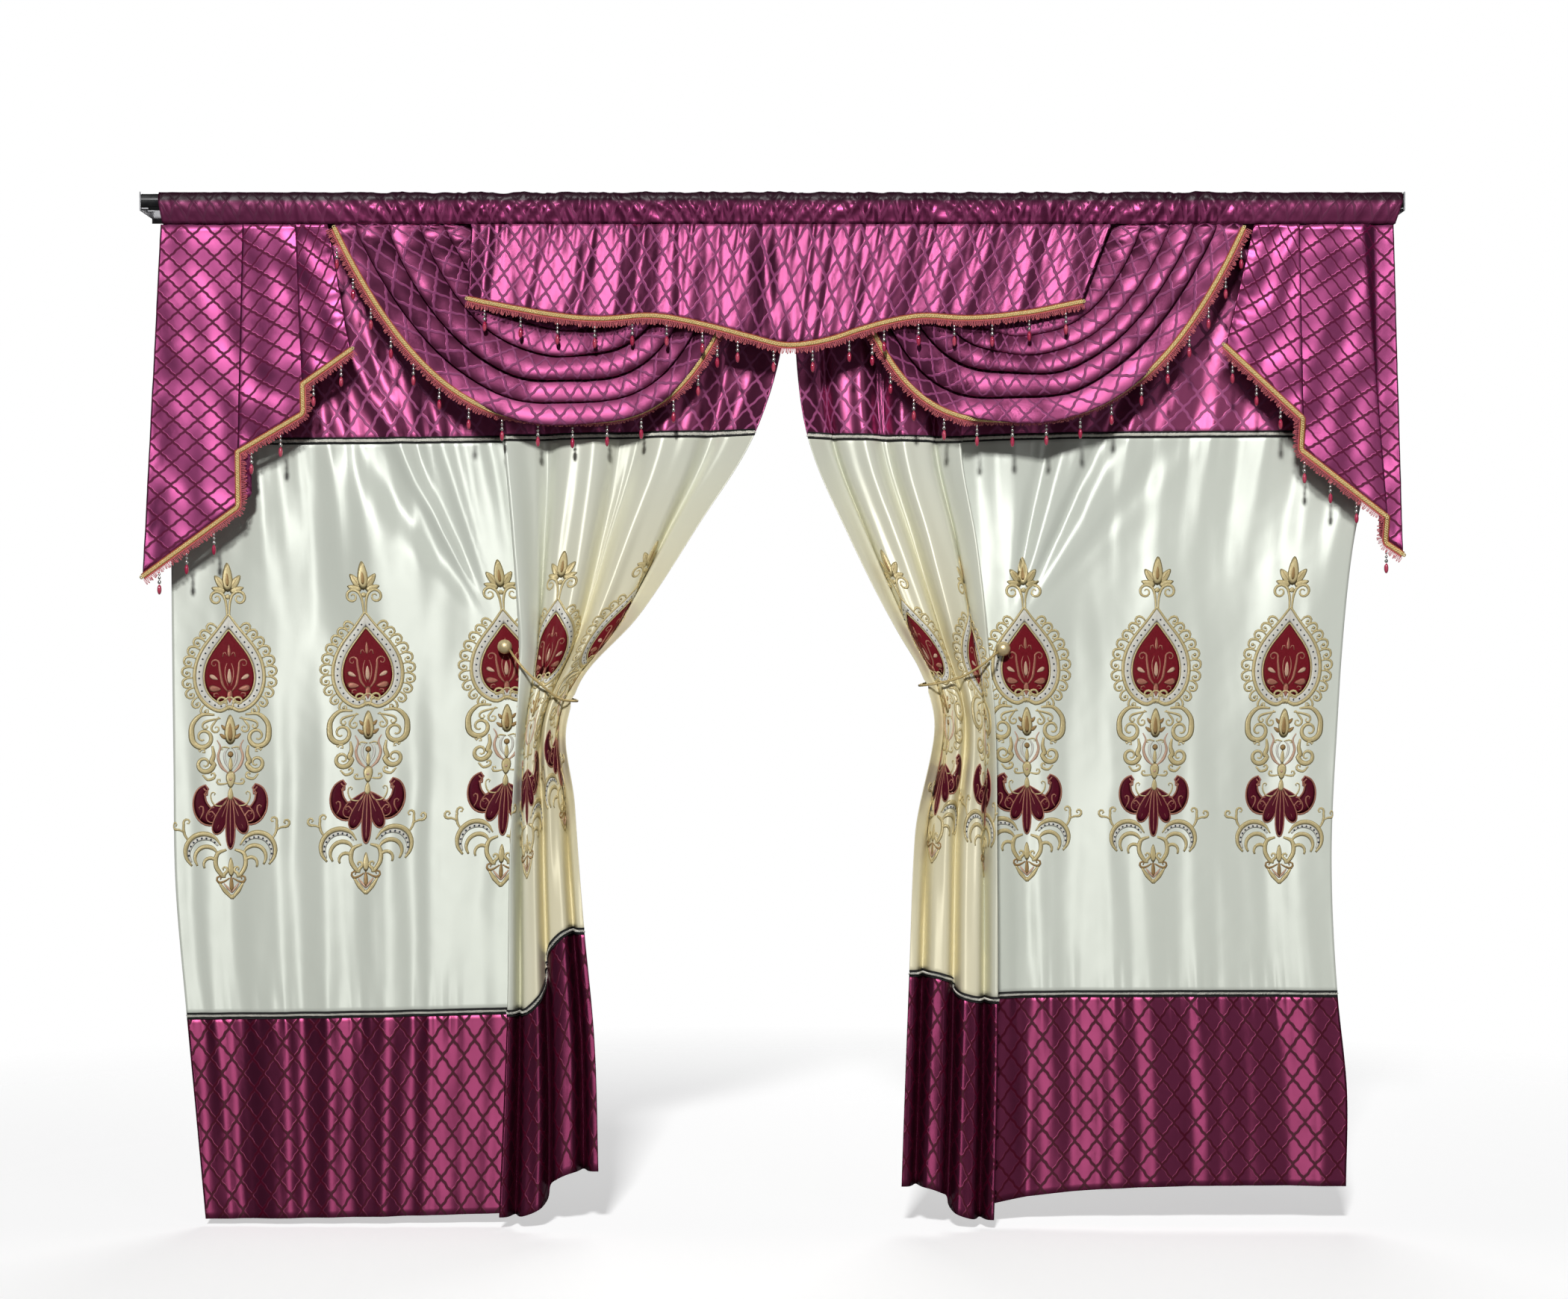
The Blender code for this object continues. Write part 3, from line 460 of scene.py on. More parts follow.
def heading_point(along, turn):
    """The valance's pocket round the front rod: plain above, crushed into puckers by its drawstring."""
    height = smooth(FRONT_POCKET, "z", turn)
    low = np.clip(height / STITCH_Z, 0, 1)
    left = HEADING_LEFT + HEADING_TAPER * low
    right = HEADING_RIGHT - 2 * HEADING_TAPER * low
    x = left + (right - left) * along
    gathered = 0.30 + 0.70 * ease((x + 112) / 30) * ease((118 - x) / 26)
    below = ease((height + 0.6) / 1.6) * (1 - 0.6 * ease((height - 4.5) / 0.9))
    slant = 2.2 * np.sin(x / 11.0 + 1.0) * (height - 2.5) / 2.5
    pucker = 0.42 * ridges(x, 4.2, 51, slant) + 0.24 * ridges(x, 2.3, 52, -1.4 * slant)
    pucker = pucker + 0.14 * folds(x, 5.9, 54)
    crush = crumple(x, height * 1.4, 3.2, 11)
    face = np.where(turn > 4, 1.0, 0.5)
    over = 0.14 * folds(x, 3.1, 53, slant) * (1 - below)
    lift = face * gathered * ((pucker + 0.16 * crush) * below + over)
    y = FRONT_ROD_Y / CM + smooth(FRONT_POCKET, "y", turn) - lift - 0.05
    top = 0.20 * crumple(x, 0 * x, 6.0, 13) + 0.12 * folds(x, 3.1, 53)
    z = height - top * gathered * ease(-height / 1.5)
    return x, y, z + (0.12 * crush + 0.10 * pucker) * gathered * below


def skirt_point(along, down):
    """The valance's gathered middle, along it and down it from 0 to 1."""
    x_low = SKIRT_EDGE[0].x + (SKIRT_EDGE[-1].x - SKIRT_EDGE[0].x) * along
    x_top = SKIRT_LEFT + (SKIRT_RIGHT - SKIRT_LEFT) * along
    z = TOP_Z + (smooth(SKIRT_EDGE, "z", x_low) - TOP_Z) * down
    cloth_x = along * SKIRT_CLOTH
    fold = (0.06 + 0.12 * down) * np.cos(2 * np.pi * SKIRT_FOLDS * along)
    slant = 3.0 * down * np.sin(cloth_x / 13)
    gathers = hung_flats(SKIRT_FLATS, cloth_x + slant, 0.5) * (0.8 + 0.3 * down)
    fine = 0.09 * folds(cloth_x, 2.4, 62, 2.2 * down * np.sin(cloth_x / 9)) * np.exp(-3.5 * down)
    slack = 0.55 * np.exp(-(((cloth_x - 66 - 8 * down) / 2.6) ** 2)) * ease(down * 3)
    dents = 0.05 * crumple(cloth_x, z * 0.5, 4.0, 21) + 0.018 * crumple(cloth_x, z, 2.3, 22)
    y = -15.9 - 3.4 * down**1.3 - fold - gathers - fine + slack - dents
    return x_top + (x_low - x_top) * down, y, z


def rolled_under(swag, along):
    """1 where the hem rolls under the last fold and 0 where it lies flat."""
    return ease((along - swag.under_from + 0.03) / 0.06) * ease((swag.under_to + 0.03 - along) / 0.06)


def swag_point(swag, across, along):
    """`across` the folds from the first to the hem, `along` them from the outer end to the inner."""
    window = ease(across * 12) * ease((1 - across) * 20)
    body = np.sin(np.pi * np.clip(along, 0, 1)) ** 0.7
    wander = 0.16 * np.sin(3.7 * along + 6 * across + swag.x_deep) + 0.06 * np.sin(9.7 * along + 5 * across)
    fold = np.clip(SWAG_PLEATS * across + wander * window, 0, SWAG_PLEATS - 1e-6)
    phase = fold - np.floor(fold)
    last = 0.66 + 0.26 * rolled_under(swag, along)
    phase = np.where(fold > SWAG_PLEATS - 1, phase * last, phase)
    tuck = (0.17 + 0.19 * body) * np.sin(np.pi * phase**2.6) * window / SWAG_PLEATS
    share = across + tuck
    outer = swag.outer_first + (swag.outer_last - swag.outer_first) * share
    inner = swag.inner_first + (swag.inner_last - swag.inner_first) * share
    sweep = -np.cos(np.pi * along)
    x = swag.x_deep + np.where(sweep < 0, swag.x_deep - outer, inner - swag.x_deep) * sweep
    deep = swag.z_first + (swag.z_last - swag.z_first) * share
    roundness = np.where(sweep < 0, SWAG_ROUNDNESS, SWAG_ROUNDNESS_INNER)
    kink = 0.6 * body * np.exp(-(((along - 0.46 - 0.05 * np.sin(7 * across)) / 0.05) ** 2)) * window
    z = TOP_Z + (deep - TOP_Z) * (1 - np.abs(sweep) ** roundness) + kink
    base = -13.6 + 1.1 * along - across * (2.2 * (1 - along) + 1.5 * body)
    bulge = np.sin(np.pi * phase**1.45) ** 0.62
    roll = (1.8 + 2.3 * body) * (0.60 + 0.40 * ease(across / 0.35)) * (1 - 0.45 * across**8)
    roll = roll * (0.85 + 0.15 * np.sin(11 * across + 5 * along))
    place = (along * 110, across * 60)
    dents = 0.12 * crumple(*place, 7.0, 31) + 0.05 * crumple(*place, 2.6, 32)
    return x, base - roll * bulge - dents, z


def tail_point(creases, across, down):
    """A pleated tail's cloth, `across` it from its outer edge and `down` it from 0 to 1."""

    def column(name):
        return rounded(lambda u: straight(creases, name, u), across, 0.5)

    x_top = column("x_top")
    x_low = column("x_low")
    z = TOP_Z + (column("z_low") - TOP_Z) * down
    ripple = 0.05 * down * np.sin(0.9 * across)
    dents = 0.20 * crumple(across - z * 0.15, z * 1.1, 14.0, 41) + 0.035 * crumple(across, z, 6.0, 46)
    dents = dents + 0.012 * crumple(across * 0.7, z, 2.6, 42)
    rims = np.exp(-((across / 4) ** 2)) + 1.3 * np.exp(-(((creases[-1].across - across) / 3.5) ** 2))
    dents = dents + 0.13 * ridges(z, 3.1, 45, 0.35 * across) * rims
    y = TAIL_Y + column("y") * (0.6 + 0.4 * down) + ripple - dents
    return x_top + (x_low - x_top) * down, y, z


def swag_hem(swag):
    return lambda f: swag_point(swag, np.ones_like(f), 0.04 + 0.92 * f)


def swag_outward(swag):
    """The way across a swag's braid: square to its hem, and turned in where the hem rolls under."""

    def outward(f):
        along = 0.04 + 0.92 * f
        before = swag_point(swag, np.ones_like(along), np.clip(along - 0.004, 0, 1))
        after = swag_point(swag, np.ones_like(along), np.clip(along + 0.004, 0, 1))
        x, z = after[0] - before[0], after[2] - before[2]
        turn = np.sign(swag.x_deep - swag.outer_last) / np.hypot(x, z)
        lean = np.radians(62) * rolled_under(swag, along)
        return -z * turn * np.cos(lean), np.sin(lean), x * turn * np.cos(lean)

    return outward


def straight_down(f):
    """The way across the skirt's braid at each fraction of its run."""
    return np.zeros_like(f), np.zeros_like(f), np.ones_like(f)


def tail_hem(creases):
    """The corners of a tail's stepped hem that show from the front, a little before the cloth."""
    outer, back_one, front_one, back_two, front_two, inner = creases
    corners = [(outer.x_low, outer.z_low, outer.y)]
    for start, end, front in ((outer, back_one, front_one), (front_one, back_two, front_two)):
        part = (front.x_low - start.x_low) / (end.x_low - start.x_low)
        z = start.z_low + (end.z_low - start.z_low) * part
        corners.append((front.x_low, z, start.y + (end.y - start.y) * part))
        corners.append((front.x_low, front.z_low, front.y))
    corners.append((inner.x_low, inner.z_low, inner.y))
    return [(x, TAIL_Y - TAIL_TRIM_LEAD + y, z) for x, z, y in corners]


def bent_line(corners):
    """A line through corners: its place and the way across it at a fraction of its run."""
    line = np.array(corners)
    steps = np.diff(line, axis=0)
    run = lengths(line)
    share = run / run[-1]
    turn = np.sign(line[-1, 0] - line[0, 0])
    square = np.array([(-z * turn / np.hypot(x, z), x * turn / np.hypot(x, z)) for x, _, z in steps])

    def place(f):
        return tuple(np.interp(f, share, line[:, k]) for k in range(3))

    def outward(f):
        index = np.clip(np.searchsorted(share, f) - 1, 0, len(square) - 1)
        return square[index, 0], 0 * f, square[index, 1]

    return place, outward


# Meshes

def to_metres(x, y, z):
    return np.stack([x, y, -np.asarray(z)], axis=-1) * CM


def unit(vectors):
    return vectors / np.linalg.norm(vectors, axis=-1, keepdims=True)


def added(name, data):
    """A new object in the scene, at the origin."""
    made = bpy.data.objects.new(name, data)
    bpy.context.scene.collection.objects.link(made)
    return made


def bare_mesh(name, points, faces):
    mesh = bpy.data.meshes.new(name)
    mesh.from_pydata(np.asarray(points).tolist(), [], [list(map(int, face)) for face in faces])
    mesh.shade_smooth()
    return mesh


def mesh_object(name, points, faces, uv=None, materials=(), slots=None):
    """A plain mesh at the origin, smooth shaded, with a UV place for each vertex if given."""
    mesh = bare_mesh(name, points, faces)
    if uv is not None:
        layer = mesh.uv_layers.new(name="Cloth")
        loops = np.empty(len(mesh.loops), np.int32)
        mesh.loops.foreach_get("vertex_index", loops)
        layer.data.foreach_set("uv", np.asarray(uv, np.float32)[loops].ravel())
    for material in materials:
        mesh.materials.append(material)
    if slots is not None:
        mesh.polygons.foreach_set("material_index", np.asarray(slots, np.int32))
    mesh.update()
    return added(name, mesh)


def cloth(name, shape, columns, rows, uv, material):
    """A sheet of cloth: a fine grid of its flat cut, hung by `shape` and given its thickness."""
    u, v = np.meshgrid(columns, rows, indexing="ij")
    index = np.arange(u.size).reshape(u.shape)
    corners = [index[:-1, :-1], index[:-1, 1:], index[1:, 1:], index[1:, :-1]]
    faces = np.stack(corners, axis=-1).reshape(-1, 4)
    points = to_metres(*shape(u.ravel(), v.ravel()))
    places = np.stack(uv(u.ravel(), v.ravel()), axis=-1) * CM
    piece = mesh_object(name, points, faces, places, [material])
    solidify = piece.modifiers.new("Thickness", "SOLIDIFY")
    solidify.thickness = SATIN
    solidify.offset = 0
    return piece


def dress(piece, nodes=()):
    """Hang a finished piece on the frame's body, for the nodes it stands for."""
    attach(piece, BODY)
    if nodes:
        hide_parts(*nodes)
    return piece


def swept(points, profile, level=None):
    """Rings of a profile carried along a line of points, square to `level` or each to the one before."""
    points = np.asarray(points, float)
    rings = []
    up = (0.0, -1.0, 0.0)
    for k, (point, way) in enumerate(zip(points, unit(np.gradient(points, axis=0)))):
        side = unit(np.cross(way, up if level is None else level))
        up = np.cross(side, way)
        local = profile(k) if callable(profile) else profile
        rings.append([point + side * a + up * b for a, b in local])
    count, last = len(rings[0]), (len(rings) - 1) * len(rings[0])
    faces = []
    for k in range(0, last, count):
        for m in range(count):
            n = (m + 1) % count
            faces.append((k + m, k + n, k + count + n, k + count + m))
    faces.append(tuple(reversed(range(count))))
    faces.append(tuple(range(last, last + count)))
    return np.array(rings).reshape(-1, 3), faces


# Lines on the cloth, and what is laid along them

Line = namedtuple("Line", "points outward facing")


def line_frames(points, outward):
    """A line with its two cross ways squared up: out across the cloth, and out of it to the room."""
    tangent = unit(np.gradient(points, axis=0))
    outward = unit(outward - tangent * np.sum(outward * tangent, axis=1, keepdims=True))
    facing = np.cross(tangent, outward)
    facing *= np.where(facing[:, 1:2] > 0, -1.0, 1.0)
    return Line(points, outward, unit(facing))


def hem_line(place, way, step=0.005):
    """A line along a cloth's edge, from its place and the way across it at a fraction of its run."""
    fine = np.linspace(0, 1, 800)
    points = to_metres(*place(fine))
    run = lengths(points)
    where = np.interp(np.linspace(0, run[-1], max(2, round(run[-1] / step))), run, fine)
    return line_frames(to_metres(*place(where)), unit(to_metres(*way(where))))


def moved(line, out, up):
    """The line shifted out across the cloth and up off it."""
    return Line(line.points + line.outward * out + line.facing * up, line.outward, line.facing)


def strip(line, profile):
    """A closed strip: a profile of (outward, facing) places carried along a line."""
    shape = np.array(profile)
    rings = (
        line.points[:, None]
        + line.outward[:, None] * shape[:, 0][None, :, None]
        + line.facing[:, None] * shape[:, 1][None, :, None]
    )
    count = len(shape)
    last = (len(rings) - 1) * count
    turn = np.sum(np.cross(unit(np.gradient(line.points, axis=0)), line.outward) * line.facing, axis=1).mean()
    faces = []
    for k in range(len(rings) - 1):
        for m in range(count):
            n = (m + 1) % count
            faces.append((k * count + m, (k + 1) * count + m, (k + 1) * count + n, k * count + n))
    faces.append(tuple(range(count)))
    faces.append(tuple(reversed(range(last, last + count))))
    area = np.sum(shape[:, 0] * np.roll(shape[:, 1], -1) - np.roll(shape[:, 0], -1) * shape[:, 1])
    if area * turn > 0:
        faces = [tuple(reversed(face)) for face in faces]
    places = np.meshgrid(lengths(line.points), lengths(shape), indexing="ij")
    places = np.stack(places, axis=-1).reshape(-1, 2)
    return rings.reshape(-1, 3), faces, places


def ring_profile(radius, sides):
    turn = np.linspace(0, 2 * np.pi, sides, endpoint=False)
    return [(radius * np.cos(a), radius * np.sin(a)) for a in turn]


def box_profile(low, high, thickness):
    half = thickness / 2
    return [(low, -half), (high, -half), (high, half), (low, half)]


def joined(name, parts, material):
    """One mesh from several (points, faces, places) parts."""
    points, faces, places, start = [], [], [], 0
    for part_points, part_faces, part_places in parts:
        points.append(part_points)
        places.append(part_places)
        faces.extend(tuple(index + start for index in face) for face in part_faces)
        start += len(part_points)
    return mesh_object(name, np.concatenate(points), faces, np.concatenate(places), [material])


# Node trees that repeat small pieces

def feed(tree, socket, source):
    """Link a source to a socket, or set the socket to a plain value."""
    if isinstance(source, bpy.types.NodeSocket):
        tree.links.new(source, socket)
    else:
        socket.default_value = source


def add_node(tree, kind, links=(), **settings):
    made = tree.nodes.new(kind)
    for key, value in settings.items():
        setattr(made, key, value)
    for key, source in dict(links).items():
        feed(tree, made.inputs[key], source)
    return made


def repeat_tree(name, along):
    """A Geometry Nodes tree: a small piece at each point of a mesh, or at even steps along its edges.

    The mesh's "outward" attribute turns each piece's Y, and "tangent" or the line itself its X.
    """
    tree = bpy.data.node_groups.new(name, "GeometryNodeTree")
    tree.is_modifier = True
    for label, way, kind in (
        ("Geometry", "INPUT", "Geometry"),
        ("Piece", "INPUT", "Object"),
        ("Spacing", "INPUT", "Float"),
        ("Size", "INPUT", "Float"),
        ("Uneven", "INPUT", "Float"),
        ("Seed", "INPUT", "Int"),
        ("Material", "INPUT", "Material"),
        ("Geometry", "OUTPUT", "Geometry"),
    ):
        tree.interface.new_socket(name=label, in_out=way, socket_type="NodeSocket" + kind)
    given = tree.nodes.new("NodeGroupInput").outputs
    end = tree.nodes.new("NodeGroupOutput")

    def node(kind, output, links=(), **settings):
        return add_node(tree, kind, links, **settings).outputs[output]

    def attribute(label):
        return node("GeometryNodeInputNamedAttribute", "Attribute", {"Name": label}, data_type="FLOAT_VECTOR")

    points, tangent = given["Geometry"], attribute("tangent")
    if along:
        line = node("GeometryNodeMeshToCurve", "Curve", {"Mesh": points})
        even = {"Curve": line, "Length": given["Spacing"]}
        line = node("GeometryNodeResampleCurve", "Curve", even, mode="LENGTH")
        made = add_node(tree, "GeometryNodeCurveToPoints", {"Curve": line}, mode="EVALUATED")
        points, tangent = made.outputs["Points"], made.outputs["Tangent"]
    axes = {"Primary Axis": tangent, "Secondary Axis": attribute("outward")}
    turn = node("FunctionNodeAxesToRotation", "Rotation", axes, primary_axis="X", secondary_axis="Y")
    uneven, seed = given["Uneven"], given["Seed"]
    less = node("ShaderNodeMath", 0, {0: 0.0, 1: uneven}, operation="SUBTRACT")
    tilt = node("FunctionNodeRandomValue", "Value", {"Min": less, "Max": uneven, "Seed": seed})
    tilt = node("ShaderNodeCombineXYZ", "Vector", {"Z": tilt})
    tilt = node("FunctionNodeEulerToRotation", 0, {0: tilt})
    turned = {"Rotation": turn, "Rotate By": tilt}
    turned = node("FunctionNodeRotateRotation", "Rotation", turned, rotation_space="LOCAL")
    more = node("ShaderNodeMath", 0, {0: 1.0, 1: uneven}, operation="ADD")
    fewer = node("ShaderNodeMath", 0, {0: 1.0, 1: uneven}, operation="SUBTRACT")
    other = node("ShaderNodeMath", 0, {0: seed, 1: 7.0}, operation="ADD")
    grow = node("FunctionNodeRandomValue", "Value", {"Min": fewer, "Max": more, "Seed": other})
    size = node("ShaderNodeMath", 0, {0: grow, 1: given["Size"]}, operation="MULTIPLY")
    piece = node("GeometryNodeObjectInfo", "Geometry", {"Object": given["Piece"]})
    copies = {"Points": points, "Instance": piece, "Rotation": turned, "Scale": size}
    copies = node("GeometryNodeInstanceOnPoints", "Instances", copies)
    whole = node("GeometryNodeRealizeInstances", "Geometry", {"Geometry": copies})
    painted = {"Geometry": whole, "Material": given["Material"]}
    tree.links.new(node("GeometryNodeSetMaterial", "Geometry", painted), end.inputs["Geometry"])
    return tree


def repeated(name, tree, line, piece, material, spacing=0.01, size=1.0, uneven=0.0, seed=1):
    """A plain mesh of a small piece repeated by a node tree on a line."""
    mesh = bpy.data.meshes.new(name + "_guide")
    edges = [(k, k + 1) for k in range(len(line.points) - 1)]
    mesh.from_pydata(line.points.tolist(), edges, [])
    for key, rows in (("outward", line.outward), ("tangent", np.cross(line.outward, line.facing))):
        attribute = mesh.attributes.new(key, "FLOAT_VECTOR", "POINT")
        attribute.data.foreach_set("vector", rows.astype(np.float32).ravel())
    guide = added(name + "_guide", mesh)
    modifier = guide.modifiers.new("Repeat", "NODES")
    modifier.node_group = tree
    values = {
        "Piece": piece,
        "Spacing": spacing,
        "Size": size,
        "Uneven": uneven,
        "Seed": seed,
        "Material": material,
    }
    for socket in tree.interface.items_tree:
        if socket.in_out == "INPUT" and socket.name in values:
            modifier[socket.identifier] = values[socket.name]
    guide.update_tag()
    bpy.context.view_layer.update()
    graph = bpy.context.evaluated_depsgraph_get()
    made = bpy.data.meshes.new_from_object(guide.evaluated_get(graph))
    made.name = name
    bpy.data.objects.remove(guide, do_unlink=True)
    return added(name, made)


def small_piece(name, points, faces):
    """A piece to be repeated: kept out of the scene, so that only its copies show."""
    return bpy.data.objects.new(name, bare_mesh(name, points, faces))


def turned_piece(name, profile, sides):
    """A bead: a profile of (down, half width) rows turned about the vertical."""
    points, faces = [], []
    for down, half in profile:
        for k in range(sides):
            turn = 2 * np.pi * k / sides
            points.append((half * np.cos(turn), half * np.sin(turn), -down))
    for row in range(len(profile) - 1):
        for k in range(sides):
            n = (k + 1) % sides
            one, two = row * sides, (row + 1) * sides
            faces.append((one + k, two + k, two + n, one + n))
    last = (len(profile) - 1) * sides
    faces.append(tuple(range(sides)))
    faces.append(tuple(reversed(range(last, last + sides))))
    return small_piece(name, points, faces)


def bead_profile(top, length, half, rows=5):
    """An oval bead's (down, half width) rows, from `top` down its length."""
    turn = np.linspace(0.12, np.pi - 0.12, rows)
    return [(top + length * (1 - np.cos(a)) / 2, half * np.sin(a)) for a in turn]


# Materials

FULL_TURN = 6.2832


def maths(tree, operation, *values):
    return add_node(tree, "ShaderNodeMath", dict(enumerate(values)), operation=operation).outputs[0]


def mixed(tree, share, one, two):
    """A colour between two, by a share."""
    made = add_node(tree, "ShaderNodeMix", data_type="RGBA")
    for index, source in ((0, share), (6, one), (7, two)):
        feed(tree, made.inputs[index], (*source, 1.0) if isinstance(source, tuple) else source)
    return made.outputs[2]


def ranged(tree, value, low, high, start=0.0, end=1.0):
    """A value carried from the range start to end into the range low to high."""
    made = add_node(tree, "ShaderNodeMapRange", {0: value, 1: start, 2: end, 3: low, 4: high})
    return made.outputs[0]


def noise(tree, place, scale, detail):
    given = {"Vector": place, "Scale": scale, "Detail": detail}
    return add_node(tree, "ShaderNodeTexNoise", given).outputs[0]


def new_group(name, inputs, outputs):
    """A shader group: its tree, its inputs' sources and its outputs' sockets."""
    tree = bpy.data.node_groups.new(name, "ShaderNodeTree")
    for label, kind, value in inputs:
        socket = tree.interface.new_socket(name=label, in_out="INPUT", socket_type="NodeSocket" + kind)
        if value is not None:
            socket.default_value = value
    for label in outputs:
        tree.interface.new_socket(name=label, in_out="OUTPUT", socket_type="NodeSocketFloat")
    return tree, tree.nodes.new("NodeGroupInput").outputs, tree.nodes.new("NodeGroupOutput").inputs


def lattice_group():
    """A woven diamond lattice, from the flat cloth's place in metres: 1 on its lines and 0 between."""
    inputs = (
        ("Place", "Vector", None),
        ("Width", "Float", 0.06),
        ("Height", "Float", 0.066),
        ("Line", "Float", 0.092),
        ("Waver", "Float", 0.02),
    )
    tree, given, result = new_group("Diamond lattice", inputs, ["Line"])
    place = add_node(tree, "ShaderNodeSeparateXYZ", {0: given["Place"]}).outputs
    across = maths(tree, "DIVIDE", place["X"], given["Width"])
    down = maths(tree, "DIVIDE", place["Y"], given["Height"])
    masks = []
    for way in ("ADD", "SUBTRACT"):
        slant = maths(tree, way, across, down)
        other = maths(tree, "SUBTRACT" if way == "ADD" else "ADD", across, down)
        sway = maths(tree, "SINE", maths(tree, "MULTIPLY", other, 2 * FULL_TURN))
        sway = maths(tree, "MULTIPLY", sway, given["Waver"])
        share = maths(tree, "FRACT", maths(tree, "ADD", slant, sway))
        off = maths(tree, "ABSOLUTE", maths(tree, "SUBTRACT", share, 0.5))
        edge = maths(tree, "SUBTRACT", 0.5, given["Line"])
        blur = maths(tree, "MULTIPLY", given["Line"], 0.5)
        soft = maths(tree, "DIVIDE", maths(tree, "SUBTRACT", off, edge), blur)
        masks.append(add_node(tree, "ShaderNodeClamp", {0: soft}).outputs[0])
    tree.links.new(maths(tree, "MAXIMUM", *masks), result["Line"])
    return tree


def weave_group():
    """Threads in a cloth: their height, the slubs along them, and slow random changes of lustre over the
    cloth, which the satins paint into their colour as sheen and add to their roughness.
    """
    inputs = (("Place", "Vector", None), ("Thread", "Float", 0.0006), ("Drift", "Float", 0.35))
    tree, given, result = new_group("Satin weave", inputs, ["Height", "Lustre", "Dents", "Crinkle"])
    place = add_node(tree, "ShaderNodeSeparateXYZ", {0: given["Place"]}).outputs
    turns = maths(tree, "DIVIDE", FULL_TURN, given["Thread"])
    warp = maths(tree, "SINE", maths(tree, "MULTIPLY", place["X"], turns))
    weft = maths(tree, "SINE", maths(tree, "MULTIPLY", maths(tree, "MULTIPLY", place["Y"], turns), 0.5))
    thread = maths(tree, "ADD", maths(tree, "MULTIPLY", warp, 0.35), maths(tree, "MULTIPLY", weft, 0.15))
    stretched = add_node(tree, "ShaderNodeMapping", {"Vector": given["Place"], "Scale": (900.0, 45.0, 1.0)})
    slub = maths(tree, "MULTIPLY", noise(tree, stretched.outputs[0], 1.0, 2.0), 0.6)
    tree.links.new(maths(tree, "ADD", maths(tree, "ADD", thread, 0.5), slub), result["Height"])
    tree.links.new(noise(tree, given["Place"], 15.0, 0.6), result["Dents"])
    creased = noise(tree, given["Place"], 75.0, 2.0)
    patch = ranged(tree, noise(tree, given["Place"], 6.0, 1.0), 0.0, 1.0, 0.47, 0.64)
    tree.links.new(maths(tree, "MULTIPLY", creased, patch), result["Crinkle"])
    slow = add_node(tree, "ShaderNodeMapping", {"Vector": given["Place"], "Scale": (9.0, 3.0, 1.0)})
    drift = noise(tree, slow.outputs[0], 1.0, 3.0)
    centred = maths(tree, "MULTIPLY", maths(tree, "SUBTRACT", drift, 0.5), given["Drift"])
    tree.links.new(centred, result["Lustre"])
    return tree


def wear_group():
    """Uneven wear and handling marks on a hard finish, from its place in metres."""
    inputs = (("Place", "Vector", None), ("Size", "Float", 40.0))
    tree, given, result = new_group("Handling wear", inputs, ["Marks", "Grain"])
    marks = noise(tree, given["Place"], given["Size"], 6.0)
    tree.links.new(ranged(tree, marks, 0.0, 1.0, 0.42, 0.72), result["Marks"])
    fine = maths(tree, "MULTIPLY", given["Size"], 22.0)
    tree.links.new(noise(tree, given["Place"], fine, 2.0), result["Grain"])
    return tree


def thread_group():
    """Wound or stitched thread, from a place in metres: fine ridges that run one way, and random patches of
    painted glint.
    """
    inputs = (("Place", "Vector", None), ("Pitch", "Float", 0.0008), ("Slant", "Float", 1.0))
    tree, given, result = new_group("Laid thread", inputs, ["Ridge", "Glint"])
    place = add_node(tree, "ShaderNodeSeparateXYZ", {0: given["Place"]}).outputs
    slanted = maths(tree, "ADD", place["X"], maths(tree, "MULTIPLY", place["Y"], given["Slant"]))
    slanted = maths(tree, "ADD", slanted, maths(tree, "MULTIPLY", place["Z"], 0.6))
    ridge = maths(tree, "DIVIDE", maths(tree, "MULTIPLY", slanted, FULL_TURN), given["Pitch"])
    ridge = maths(tree, "SINE", ridge)
    tree.links.new(maths(tree, "ADD", maths(tree, "MULTIPLY", ridge, 0.5), 0.5), result["Ridge"])
    glint = noise(tree, given["Place"], 260.0, 2.0)
    tree.links.new(ranged(tree, glint, 0.0, 1.0, 0.35, 0.7), result["Glint"])
    return tree


